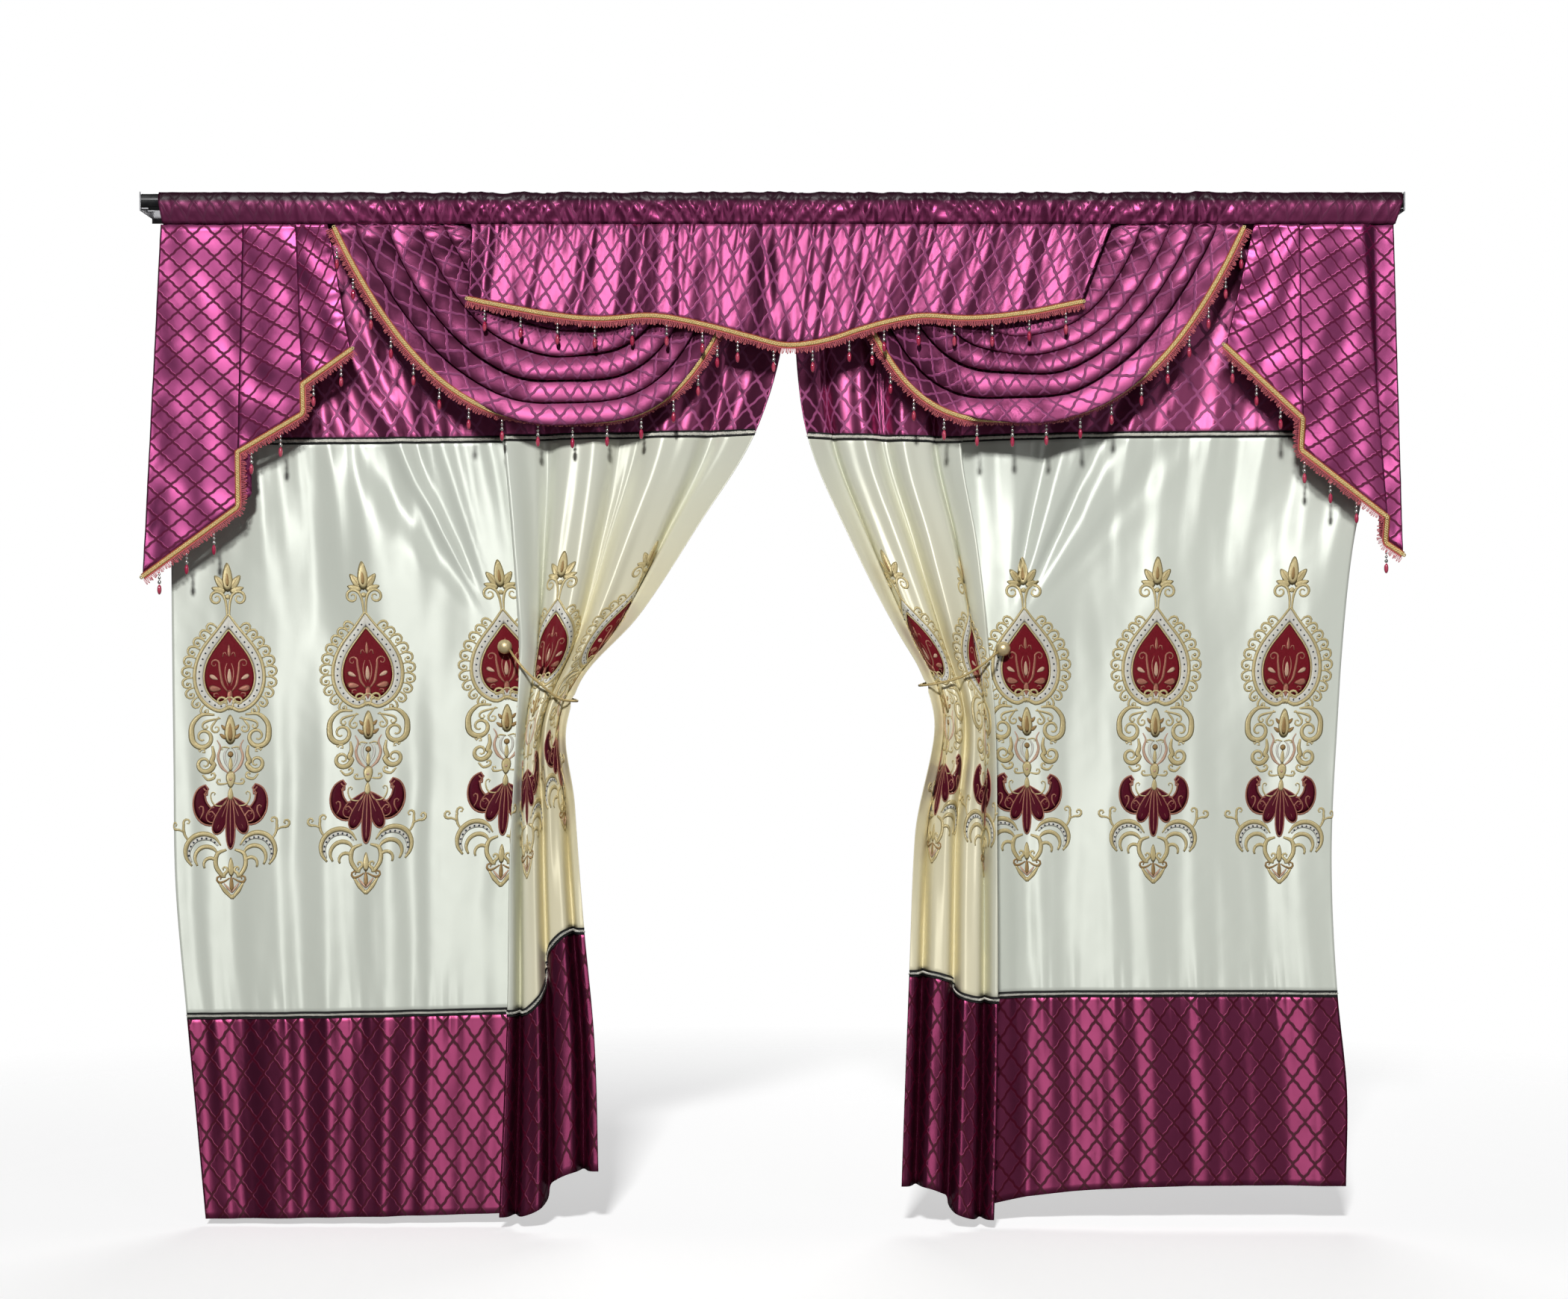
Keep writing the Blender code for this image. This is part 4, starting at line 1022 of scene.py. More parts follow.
class Palette:
    """The finishes, each with its own shader and shared groups placed in it with its own values."""

    def __init__(self):
        self.lattice = lattice_group()
        self.weave = weave_group()
        self.wear = wear_group()
        self.thread = thread_group()

    def start(self, name, **constants):
        """A new material with constants set on its shader: Coat_Weight stands for "Coat Weight"."""
        material = bpy.data.materials.new(name)
        material.use_nodes = True
        shader = material.node_tree.nodes["Principled BSDF"]
        for key, value in constants.items():
            shader.inputs[key.replace("_", " ")].default_value = value
        return material, material.node_tree, shader

    def placed(self, tree, group, **values):
        return add_node(tree, "ShaderNodeGroup", values, node_tree=group).outputs

    def cloth_place(self, tree):
        return add_node(tree, "ShaderNodeUVMap", uv_map="Cloth").outputs["UV"]

    def object_place(self, tree):
        return add_node(tree, "ShaderNodeTexCoord").outputs["Object"]

    def bump(self, tree, shader, height, distance, strength=1.0):
        given = {"Height": height, "Distance": distance, "Strength": strength}
        normal = add_node(tree, "ShaderNodeBump", given).outputs["Normal"]
        tree.links.new(normal, shader.inputs["Normal"])

    def lengthwise(self, tree, shader):
        """Long floats that run down the cloth and draw its highlights out along them."""
        way = add_node(tree, "ShaderNodeTangent", direction_type="UV_MAP", uv_map="Cloth")
        tree.links.new(way.outputs["Tangent"], shader.inputs["Tangent"])

    def plum_satin(self, row):
        """A glossy ground with a matt lattice woven in; where a row asks for it, painted shade darkens it
        over the rod's top and towards the heading's ends.
        """
        material, tree, shader = self.start(
            row.name,
            Anisotropic=row.long,
            Anisotropic_Rotation=0.25,
            Specular_IOR_Level=0.2,
        )
        self.lengthwise(tree, shader)
        place = self.cloth_place(tree)
        weave = self.placed(tree, self.weave, Place=place)
        mask = self.placed(tree, self.lattice, Place=place, Width=row.width, Height=row.height)["Line"]
        # Painted sheen: the ground is paler and deeper in slow random patches of lustre
        deep, pale = (tuple(share * part for part in row.ground) for share in (0.85, 1.15))
        ground = mixed(tree, maths(tree, "ADD", 0.5, weave["Lustre"]), deep, pale)
        colour = mixed(tree, mask, ground, row.lines)
        metal = ranged(tree, mask, 0.88, 0.05)
        if row.dusk:
            # Painted shade: near black with no metal over the rod's top, and part way darker towards the
            # heading's two ungathered ends
            cut = add_node(tree, "ShaderNodeSeparateXYZ", {0: place}).outputs
            rod_top, rod_front = (turn * HEADING_STEP * CM for turn in (5.9, 6.9))
            shade = ranged(tree, cut["Y"], 1.0, 0.0, rod_top, rod_front)
            left = ranged(tree, cut["X"], 0.5, 0.0, 0.34, 0.60)
            right = ranged(tree, cut["X"], 0.0, 0.4, 3.3, 3.6)
            shade = maths(tree, "MAXIMUM", shade, maths(tree, "ADD", left, right))
            colour = mixed(tree, shade, colour, (0.022, 0.003, 0.011))
            metal = maths(tree, "MULTIPLY", metal, maths(tree, "SUBTRACT", 1.0, shade))
        tree.links.new(colour, shader.inputs["Base Color"])
        tree.links.new(metal, shader.inputs["Metallic"])
        drift = maths(tree, "MULTIPLY", weave["Lustre"], 0.2)
        rough = maths(tree, "ADD", ranged(tree, mask, row.rough, 0.60), drift)
        tree.links.new(rough, shader.inputs["Roughness"])
        height = maths(tree, "ADD", maths(tree, "MULTIPLY", weave["Height"], 0.04), mask)
        height = maths(tree, "ADD", height, maths(tree, "MULTIPLY", weave["Dents"], row.dents))
        height = maths(tree, "ADD", height, maths(tree, "MULTIPLY", weave["Crinkle"], row.crinkle))
        self.bump(tree, shader, height, 0.00025)
        return material

    def cream_satin(self):
        """A cream satin, whiter where it catches the light, with painted warm light where it is drawn
        together.
        """
        material, tree, shader = self.start(
            "cream_satin",
            Metallic=0.12,
            Anisotropic=0.85,
            Anisotropic_Rotation=0.25,
            Specular_IOR_Level=0.5,
        )
        self.lengthwise(tree, shader)
        place = self.cloth_place(tree)
        weave = self.placed(tree, self.weave, Place=place)
        # Painted sheen: the cream is paler and darker in slow random patches of lustre
        share = maths(tree, "ADD", 0.5, weave["Lustre"])
        flat = mixed(tree, share, (0.61, 0.645, 0.565), (0.70, 0.735, 0.655))
        # Painted warm light: the colour turns yellow towards the drawn inner part and lower down
        cut = add_node(tree, "ShaderNodeSeparateXYZ", {0: place}).outputs
        inner = ranged(tree, cut["X"], 0.0, 0.85, 0.86, 1.2)
        low = ranged(tree, cut["Y"], 0.25, 1.0, 0.55, 1.1)
        drawn = maths(tree, "MULTIPLY", inner, low)
        tree.links.new(mixed(tree, drawn, flat, (0.86, 0.78, 0.52)), shader.inputs["Base Color"])
        rough = maths(tree, "ADD", 0.39, maths(tree, "MULTIPLY", weave["Lustre"], 0.2))
        tree.links.new(rough, shader.inputs["Roughness"])
        height = maths(tree, "MULTIPLY", weave["Height"], 0.08)
        height = maths(tree, "ADD", height, maths(tree, "MULTIPLY", weave["Dents"], 3.0))
        self.bump(tree, shader, height, 0.00012)
        return material

    def laid_thread(self, row):
        """Embroidery, braid or cord in a thread of one colour, with painted shade between its turns and
        painted highlights on them.
        """
        material, tree, shader = self.start(
            row.name, Metallic=row.metallic, Roughness=row.roughness, Specular_IOR_Level=row.shine
        )
        thread = self.placed(
            tree, self.thread, Place=self.object_place(tree), Pitch=row.pitch, Slant=row.slant
        )
        # Painted shade and highlight: the colour runs from the thread's dark colour in the grooves to its
        # light colour on the ridges, brighter in random patches of painted glint
        share = maths(tree, "MULTIPLY", thread["Ridge"], ranged(tree, thread["Glint"], 0.6, 1.0))
        tree.links.new(mixed(tree, share, row.dark, row.light), shader.inputs["Base Color"])
        self.bump(tree, shader, thread["Ridge"], 0.0003, 0.7)
        return material

    def hard(self, row):
        """A hard finish: paint, plating or glass, a little worn."""
        material, tree, shader = self.start(row.name, Metallic=row.metallic, Coat_Weight=row.coat)
        wear = self.placed(tree, self.wear, Place=self.object_place(tree), Size=row.size)
        tree.links.new(mixed(tree, wear["Marks"], row.colour, row.worn), shader.inputs["Base Color"])
        rough = ranged(tree, wear["Marks"], row.roughness, row.roughness + 0.15)
        tree.links.new(rough, shader.inputs["Roughness"])
        if row.bump:
            self.bump(tree, shader, wear["Grain"], row.bump)
        return material


# The cloths

def panel_columns(panel):
    """Grid lines across a panel: close together at its fold and in its drawn part."""
    flat = np.arange(0, panel.back - 2, 0.9)
    turn = np.arange(panel.back - 2, panel.front + 2, 0.35)
    drawn = np.linspace(panel.front + 2, PANEL_WIDTH, 112)
    return np.concatenate([flat, turn, drawn])


def flat_place(across, down):
    return across, down


def panel_uv(across, row):
    turns = len(REAR_POCKET) - 1
    return across, np.where(row < turns, 2.2, 1.0) * (row - turns)


def on_panel(panel, across, down, lift):
    """A point `lift` centimetres out of a panel's face towards the room, in metres."""
    reach = 0.3
    here = np.stack(panel_point(panel, across, down), axis=-1)
    right = np.stack(panel_point(panel, across + reach, down), axis=-1)
    below = np.stack(panel_point(panel, across, down + reach), axis=-1)
    right = right - here
    below = below - here
    way = np.cross(right, below) * panel.hand
    here = here + unit(way) * np.asarray(lift)[..., None]
    return to_metres(here[..., 0], here[..., 1], here[..., 2])


def make_panel(panel, finishes):
    columns = panel_columns(panel)
    turns = len(REAR_POCKET) - 1

    def pocketed(across, row):
        """Rows below `turns` go round the rod, and later ones down the cloth."""
        round_rod = pocket_point(panel, across, np.clip(row, 0, turns))
        hanging = panel_point(panel, across, np.clip(row - turns, 0, None))
        return tuple(np.where(row <= turns, *pair) for pair in zip(round_rod, hanging))

    top_rows = np.concatenate([np.linspace(0, turns, 13), turns + np.linspace(0, UPPER_SEAM, 32)[1:]])
    cream_rows = np.linspace(UPPER_SEAM + SEAM_GAP, LOWER_SEAM - SEAM_GAP, 80)
    low_rows = np.linspace(LOWER_SEAM + SEAM_GAP, HEM, 30)
    hung = partial(panel_point, panel)
    for part, shape, rows, finish, places, height, held in (
        ("top_band", pocketed, top_rows, "plum_satin_top", panel_uv, UPPER_SEAM + POCKET_CLOTH, "gathered"),
        ("cream", hung, cream_rows, "cream_satin", flat_place, LOWER_SEAM - UPPER_SEAM, "hung"),
        ("bottom_band", hung, low_rows, "plum_satin_bands", flat_place, HEM - LOWER_SEAM, "hung"),
    ):
        node = f"panel_{panel.side}_{part}"
        piece = cloth(node + "_cloth", shape, columns, rows, places, finishes[finish])
        dress(piece, [node])


def swag_uv(across, along):
    """A swag's cloth along and across its folds: it narrows towards both ends."""
    return 42 * along + 39 * (1 - np.cos(np.pi * along)), across * 62


def tail_uv(creases):
    """A tail's cloth: its lattice runs aslant from the first pleat on."""

    def places(across, down):
        slant = 0.4 * np.clip(across - creases[1].across, 0, None)
        return across, down * (straight(creases, "z_low", across) - TOP_Z) + slant

    return places


def make_valance(finishes):
    turns = len(FRONT_POCKET) - 1
    heading_width = HEADING_RIGHT - HEADING_LEFT
    heading = cloth(
        "valance_heading_cloth",
        heading_point,
        np.linspace(0, 1, 600),
        np.concatenate([np.linspace(0, 3, 5)[:-1], np.linspace(3, turns, 20)]),
        lambda along, turn: (along * (heading_width * HEADING_FULLNESS), turn * HEADING_STEP),
        finishes["plum_satin_crushed"],
    )
    dress(heading, ["valance_heading"])

    skirt_width = (SKIRT_RIGHT - SKIRT_LEFT) * SKIRT_FULLNESS
    skirt = cloth(
        "valance_skirt_cloth",
        skirt_point,
        np.linspace(0, 1, 390),
        np.linspace(0, 1, 26),
        lambda along, down: (along * skirt_width, down * 23),
        finishes["plum_satin"],
    )
    dress(skirt, ["valance_skirt"])

    for swag in SWAGS:
        node = "swag_" + swag.side
        piece = cloth(
            node + "_cloth",
            partial(swag_point, swag),
            np.linspace(0, 1, 106),
            np.linspace(0, 1, 70),
            swag_uv,
            finishes["plum_satin"],
        )
        dress(piece, [node])
    for side, creases in TAILS:
        width = creases[-1].across
        piece = cloth(
            f"tail_{side}_cloth",
            partial(tail_point, creases),
            np.linspace(0, width, 110),
            np.linspace(0, 1, 48),
            tail_uv(creases),
            finishes["plum_satin_tails"],
        )
        dress(piece, ["tail_" + side])


# The ornament columns, drawn flat in centimetres about a column's middle line: x right, z down

Patch = namedtuple("Patch", "points faces thread")
Place = namedtuple("Place", "run x z")
RIM = 0.065
CREST = 0.11
LAYER = 0.07
STITCH_STEP = 0.50
TABS = 10
DOTS = 17


def curl(x, z, radius, start, turns, close=0.25):
    """A spiral about (x, z) that winds in from the angle `start` in degrees: 0 is right, 90 is down."""
    share = np.linspace(0, 1, max(6, int(abs(turns) * 14)))
    angle = np.radians(start + 360 * turns * share)
    reach = radius * (1 - (1 - close) * share)
    return np.stack([x + reach * np.cos(angle), z + reach * np.sin(angle)], axis=1)


def stroke(*parts):
    """Even points on a smooth line through points and curls."""
    points = np.concatenate([np.atleast_2d(part) for part in parts]).astype(float)
    run = lengths(points)
    rows = [Place(*row) for row in np.column_stack([run, points])]
    where = np.linspace(0, run[-1], max(4, int(run[-1] / STITCH_STEP)))
    return np.stack([smooth(rows, "x", where), smooth(rows, "z", where)], axis=1)


def band(one, two, thread, level=0):
    """Satin stitch between two lines: raised along its middle, and closed below."""
    rim = RIM + LAYER * level
    width = np.linalg.norm(two - one, axis=1)
    high = rim + CREST * np.clip(width / 0.7, 0.2, 1.0)
    shares = (0, 0.30, 0.70, 1, 0.5)
    lifts = (rim + 0 * high, high, high, rim + 0 * high, 0 * high)
    rows = [np.column_stack([one + (two - one) * share, lift]) for share, lift in zip(shares, lifts)]
    points = np.stack(rows, axis=1).reshape(-1, 3)
    count, last = len(shares), (len(one) - 1) * len(shares)
    faces = [tuple(range(count)), tuple(reversed(range(last, last + count)))]
    for k in range(0, last, count):
        for m in range(count):
            n = (m + 1) % count
            faces.append((k + n, k + m, k + count + m, k + count + n))
    return Patch(points, faces, thread)


def edges(line, widths):
    """The two edges of a ribbon whose width runs through `widths` along a line."""
    run = lengths(line)
    half = np.interp(run / run[-1], np.linspace(0, 1, len(widths)), widths) / 2
    way = unit(np.gradient(line, axis=0))
    side = np.stack([-way[:, 1], way[:, 0]], axis=1) * half[:, None]
    return line - side, line + side


def ribbon(line, widths, thread, level=0):
    return band(*edges(line, widths), thread, level)


def fill(outline, thread, level=0, rings=3):
    """Padded stitch that fills an outline seen whole from its middle."""
    middle = outline.mean(axis=0)
    count = len(outline)
    shares = np.linspace(1, 0, rings + 1)[:-1]
    rows = []
    for share in shares:
        lift = RIM + LAYER * level + CREST * (1 - share**3)
        rows.append(np.column_stack([middle + (outline - middle) * share, np.full(count, lift)]))
    top, bottom = rings * count, rings * count + 1
    points = np.concatenate([*rows, [[*middle, RIM + LAYER * level + CREST], [*middle, 0.0]]])
    faces = []
    for k in range(count):
        n = (k + 1) % count
        for row in range(rings - 1):
            one, two = row * count, (row + 1) * count
            faces.append((one + k, one + n, two + n, two + k))
        faces.append(((rings - 1) * count + k, (rings - 1) * count + n, top))
        faces.append((n, k, bottom))
    return Patch(points, faces, thread)


def teardrop(tip, foot, half, pinch, notch, count=72):
    """A drop's outline, from its tip round to its tip, its foot drawn up in the middle."""
    turn = np.linspace(0.02, 2 * np.pi - 0.02, count)
    z = (tip + foot) / 2 - (foot - tip) / 2 * np.cos(turn)
    x = half / 0.82 * np.sin(turn) * np.sin(turn / 2) ** 0.7
    x = x * (1 - pinch * np.exp(-(((z - tip) / (0.24 * (foot - tip))) ** 2)))
    return np.stack([x, z - notch * np.exp(-((x / 1.5) ** 2)) * (z > (tip + foot) / 2)], axis=1)


def leaf(x, z, length, width, angle, belly=-0.3, count=18):
    """A leaf's outline from its root, the way `angle` points; a positive `belly` is near its tip."""
    turn = np.linspace(0, 2 * np.pi, count, endpoint=False)
    along = length * (1 - np.cos(turn)) / 2
    out = width / 2 * np.sin(turn) * (1 + belly * (2 * along / length - 1))
    c, s = np.cos(np.radians(angle)), np.sin(np.radians(angle))
    return np.stack([x + along * c - out * s, z + along * s + out * c], axis=1)


def dot(x, z, radius=0.23, sides=6):
    turn = np.linspace(0, 2 * np.pi, sides, endpoint=False)
    return np.stack([x + radius * np.cos(turn), z + radius * np.sin(turn)], axis=1)


def set_on(shape, at, along):
    """A shape drawn upright, moved to a point and turned so that its width runs along a line."""
    out = np.array([along[1], -along[0]])
    return at + shape[:, :1] * along + shape[:, 1:] * out


def point_along(line, where):
    run = lengths(line)
    return np.array([np.interp(where, run, line[:, 0]), np.interp(where, run, line[:, 1])])


def both_sides(patches):
    """The patches and their mirror images."""
    return patches + [Patch(patch.points * (-1, 1, 1), patch.faces, patch.thread) for patch in patches]


def finial():
    """The bud and leaves at a column's top, over two scrolls."""
    sides = [
        fill(leaf(0.5, 6.5, 4.2, 1.9, -52), "gold"),
        fill(leaf(0.5, 7.0, 3.5, 1.5, -16), "gold"),
        ribbon(stroke((0.9, 5.9), (1.9, 4.6), (2.5, 3.7)), (0.15, 0.3, 0.15), "bronze", 1),
        ribbon(stroke((0.3, 12.9), (0.32, 11.2), (0.55, 9.2), (1.2, 7.6), curl(2.7, 8.5, 1.6, -100, 1.2)),
               (0.4, 0.6, 0.75, 0.7, 0.55, 0.3), "gold"),
    ]
    return both_sides(sides) + [
        fill(leaf(0, 7.0, 6.8, 2.5, -90), "gold", 1),
        fill(leaf(0, 5.8, 3.4, 0.9, -90), "bronze", 2),
        fill(dot(0, 8.1, 0.6, 10), "gold", 1),
    ]


def drop():
    """The pointed teardrop: a dotted cream border, a shell of tabs round it, a tulip inside it."""
    outer = teardrop(12.2, 35.0, 8.1, 0.40, 1.4)
    inner = teardrop(15.8, 33.2, 5.9, 0.28, 1.9)
    middle = (outer + inner) / 2
    patches = [
        band(outer, inner, "cream"),
        ribbon(outer, (0.5, 0.85, 0.85, 0.85, 0.5), "gold", 1),
        ribbon(inner, (0.4,), "gold", 2),
        fill(inner, "burgundy", 0, 8),
    ]
    for mark in np.linspace(1.4, lengths(middle)[-1] - 1.4, 2 * DOTS):
        patches.append(fill(dot(*point_along(middle, mark)), "slate", 2, 1))
    half = outer[: len(outer) // 2]
    arch = np.array(
        [(-1.05, 0.3), (-1.25, 1.5), (-0.55, 2.75), (0.55, 2.65), (1.0, 1.6), (0.5, 0.9), (-0.1, 1.3)]
    )
    tabs = []
    for k in range(TABS):
        where = lengths(half)[-1] * (0.17 + 0.66 * k / (TABS - 1))
        at = point_along(half, where)
        along = unit(point_along(half, where + 0.4) - at)
        size = 0.80 + 0.24 * np.sin(np.pi * (k + 0.6) / TABS)
        line = stroke(set_on(arch * size, at, along))
        tabs.append(ribbon(line, (0.3, 0.6, 0.6, 0.45, 0.25), "gold"))
        tabs.append(fill(set_on(dot(0.15, 1.75, 0.42) * size, at, along), "gold", 0, 1))
    tulip = [
        ribbon(stroke((0.5, 30.0), (1.5, 28.6), (2.0, 26.4), (2.3, 24.2), curl(3.4, 23.6, 1.1, 200, 0.95)),
               (0.35, 0.8, 0.75, 0.6, 0.35, 0.2), "copper", 1),
        ribbon(stroke((0.3, 28.8), (0.9, 26.8), (0.9, 24.6), (0.3, 23.0)), (0.2, 0.4, 0.4, 0.2), "copper", 1),
        fill(leaf(1.9, 29.6, 3.0, 1.5, -8, 0.4), "copper", 1),
        fill(leaf(2.6, 27.3, 2.3, 1.0, -28, 0.4), "peach", 1),
        ribbon(stroke((0.4, 21.8), (1.1, 20.8), (1.5, 22.0)), (0.2, 0.35, 0.35), "copper", 1),
        ribbon(stroke((0.2, 34.3), (0.8, 33.1), curl(2.0, 32.4, 1.25, 170, 0),
                      curl(2.0, 32.4, 1.25, 175, 1.1)), (0.4, 0.6, 0.55, 0.3), "gold", 2),
        ribbon(stroke((2.6, 30.7), curl(3.3, 31.0, 0.8, 200, 0.8)), (0.25, 0.4, 0.2), "copper", 1),
    ]
    return patches + both_sides(tabs) + both_sides(tulip) + [
        fill(leaf(0, 28.4, 4.0, 1.1, -90), "peach", 1),
        fill(leaf(0, 29.6, 3.4, 1.3, 90), "copper", 1),
        fill(leaf(0, 22.2, 3.2, 0.8, -90), "copper", 1),
    ]


def scrolls():
    """Two pairs of scrolls about a bud and a lyre."""
    sides = [
        ribbon(stroke((3.6, 35.4), (6.6, 35.4), (8.8, 37.8), curl(6.3, 40.6, 2.7, -10, 1.35, 0.2)),
               (0.5, 1.1, 1.5, 1.2, 0.8, 0.4), "gold"),
        ribbon(stroke((2.2, 36.2), (4.4, 36.6), curl(5.6, 38.0, 1.0, -80, 0.9)), (0.3, 0.6, 0.3), "gold", 1),
        ribbon(stroke((2.6, 35.9), curl(3.3, 38.6, 1.2, -60, 1.1)), (0.3, 0.6, 0.5, 0.3), "gold"),
        ribbon(stroke((4.2, 42.6), (3.9, 44.6), (4.2, 46.6), curl(6.0, 46.7, 2.1, 180, -1.35, 0.2)),
               (0.5, 1.2, 1.3, 1.0, 0.7, 0.35), "gold"),
        ribbon(stroke((7.4, 43.4), curl(6.3, 43.9, 0.8, 0, -0.9)), (0.3, 0.5, 0.3), "gold", 1),
        ribbon(stroke((6.5, 49.2), (5.2, 50.4), curl(4.3, 49.3, 0.9, 90, 0.8)), (0.4, 0.7, 0.4), "gold"),
        ribbon(stroke((0.5, 49.0), (2.0, 47.6), (2.9, 45.2), (2.4, 42.6), (3.1, 41.3)),
               (0.3, 0.8, 0.7, 0.5, 0.25), "peach"),
        ribbon(stroke((0.3, 48.0), (1.2, 46.4), (1.3, 44.2), (0.4, 43.0)), (0.25, 0.6, 0.6, 0.3), "cream"),
        fill(leaf(1.0, 41.0, 1.9, 0.9, -38), "bronze"),
        fill(leaf(1.1, 39.0, 1.6, 0.8, -52), "bronze"),
        ribbon(stroke((0.2, 43.2), (1.2, 42.9), curl(1.8, 43.4, 0.5, -90, 0.7)), (0.3, 0.4, 0.2), "gold", 1),
        ribbon(stroke((0.6, 51.2), (1.6, 51.4), curl(2.6, 50.7, 0.8, 110, -0.9)), (0.3, 0.6, 0.3), "gold"),
    ]
    return both_sides(sides) + [
        fill(leaf(0, 42.4, 7.0, 2.7, -90), "gold"),
        fill(leaf(0, 41.6, 4.4, 1.2, -90), "bronze", 1),
        fill(dot(0, 44.6, 0.7, 10), "bronze", 1, 2),
        fill(leaf(0, 48.6, 3.4, 1.0, -90), "gold", 0),
        fill(leaf(0, 48.4, 4.0, 2.2, 90), "gold"),
        fill(dot(0, 50.4, 0.5, 8), "peach", 1, 1),
    ]


def wings():
    """A burgundy acanthus: two curled wings and a fluted pendant, edged in copper and gold."""
    wing = stroke((0.4, 55.4), (2.6, 58.2), (5.4, 58.6), (7.1, 55.9), (6.7, 53.0), (5.5, 52.0))
    near, far = edges(wing, (0.8, 3.2, 4.2, 3.7, 2.6, 1.2))
    sides = [
        band(near, far, "wine"),
        ribbon(np.concatenate([near, far[::-1]]), (0.42,), "copper", 1),
        ribbon(stroke((6.3, 52.2), curl(6.0, 53.5, 0.9, -80, -0.85)), (0.3, 0.45, 0.2), "copper", 2),
        ribbon(stroke((4.2, 60.2), (3.6, 58.4), curl(4.7, 58.2, 0.8, 190, 0.75)),
               (0.2, 0.45, 0.2), "copper", 2),
        ribbon(stroke((7.1, 59.3), (6.3, 57.4), curl(7.0, 56.9, 0.8, 150, 0.75)),
               (0.2, 0.45, 0.2), "copper", 2),
        ribbon(stroke((0.6, 54.6), (1.8, 56.3), (3.6, 56.2), (4.6, 54.4), curl(3.9, 53.7, 0.7, 0, -0.7)),
               (0.25, 0.35, 0.35, 0.2), "gold", 2),
    ]
    for length, width, angle, level in ((7.4, 2.7, 47, 1), (9.0, 2.6, 68, 2)):
        outline = leaf(0.2, 54.4, length, width, angle, 0.55, 24)
        rib = stroke(outline[0], outline.mean(axis=0), outline[len(outline) // 2] * 0.85 + outline[0] * 0.15)
        sides.append(fill(outline, "wine", level, 4))
        sides.append(ribbon(np.concatenate([outline, outline[:1]]), (0.3,), "copper", level + 0.5))
        sides.append(ribbon(rib, (0.12, 0.3, 0.12), "copper", level + 1))
    centre = leaf(0, 54.2, 12.0, 2.1, 90, 0.3, 24)
    return both_sides(sides) + [
        fill(centre, "wine", 3, 5),
        ribbon(np.concatenate([centre, centre[:1]]), (0.32,), "copper", 3.5),
        ribbon(stroke((0, 54.6), (0, 59.0), (0, 65.0)), (0.25, 0.4, 0.15), "copper", 4),
        fill(leaf(0, 55.2, 3.0, 1.3, -90), "gold", 4),
    ]


def shell():
    """Nested shells with dotted borders, curled arms, and a closing fleuron."""
    sides = [
        ribbon(stroke((9.6, 64.6), (10.8, 62.6), (11.0, 61.0), curl(10.1, 60.0, 0.95, 30, -0.95)),
               (0.4, 0.7, 0.6, 0.3), "gold"),
        ribbon(stroke((10.9, 62.2), (12.2, 61.6), curl(13.0, 60.6, 1.05, 110, -1.0)),
               (0.35, 0.65, 0.3), "gold", 1),
        ribbon(stroke((1.0, 66.4), (3.0, 67.2), (3.4, 70.4), (1.6, 72.4), curl(1.6, 70.9, 0.95, 90, 0.9)),
               (0.5, 1.1, 1.1, 0.8, 0.3), "gold", 1),
        ribbon(stroke((0.4, 72.9), (1.6, 73.6), curl(2.7, 73.0, 0.95, 120, -1.0)),
               (0.3, 0.6, 0.3), "bronze", 1),
        ribbon(stroke((2.9, 73.9), (1.9, 75.4), (0.0, 77.6)), (0.5, 1.1, 0.7), "gold"),
        ribbon(stroke((1.8, 74.1), (0.9, 75.2), (0.0, 76.2)), (0.3, 0.6, 0.4), "peach", 1),
    ]
    for x, z, radius, start, sweep, width in (
        (6.6, 67.0, 4.6, -160, 0.58, 1.1),
        (5.8, 68.4, 3.0, -165, 0.56, 1.0),
        (4.9, 69.8, 1.7, -170, 0.55, 0.8),
    ):
        ends = (0.3, width, width, 0.9 * width, 0.5)
        sides.append(ribbon(stroke(curl(x, z, radius, start, sweep, 0.85)), ends, "gold", 1))
    dotted = stroke(curl(6.3, 67.4, 3.85, -150, 0.50, 0.9))
    sides.append(ribbon(dotted, (0.4, 1.0, 1.0, 0.5), "cream"))
    for point in dotted[2:-2:2]:
        sides.append(fill(dot(*point, 0.25), "slate", 2, 1))
    return both_sides(sides) + [
        fill(leaf(0, 76.0, 3.6, 1.0, -90), "bronze", 0),
        fill(dot(0, 77.2, 0.55, 8), "gold", 1, 2),
        fill(leaf(0, 72.6, 4.4, 1.4, -90), "gold", 0),
    ]


def embroider(panel, finishes):
    """A panel's five ornament columns, laid on the face of its cream cloth."""
    drawing = [patch for make in (finial, drop, scrolls, wings, shell) for patch in make()]
    threads = sorted({patch.thread for patch in drawing})
    flat = np.concatenate([patch.points for patch in drawing])
    places, faces, slots, start = [], [], [], 0
    for column in range(MOTIF_COUNT):
        across = MOTIF_FIRST + column * MOTIF_PITCH + flat[:, 0]
        places.append(on_panel(panel, across, MOTIF_TOP + flat[:, 1], flat[:, 2]))
        for patch in drawing:
            points = np.arange(start, start + len(patch.points))
            faces.extend([tuple(points[list(face)]) for face in patch.faces])
            slots.extend([threads.index(patch.thread)] * len(patch.faces))
            start += len(patch.points)
    materials = [finishes["thread_" + thread] for thread in threads]
    piece = mesh_object(f"embroidery_{panel.side}", np.concatenate(places), faces, None, materials, slots)
    bm = bmesh.new()
    bm.from_mesh(piece.data)
    bmesh.ops.recalc_face_normals(bm, faces=bm.faces)
    bm.to_mesh(piece.data)
    bm.free()
    dress(piece)


# The seam braids

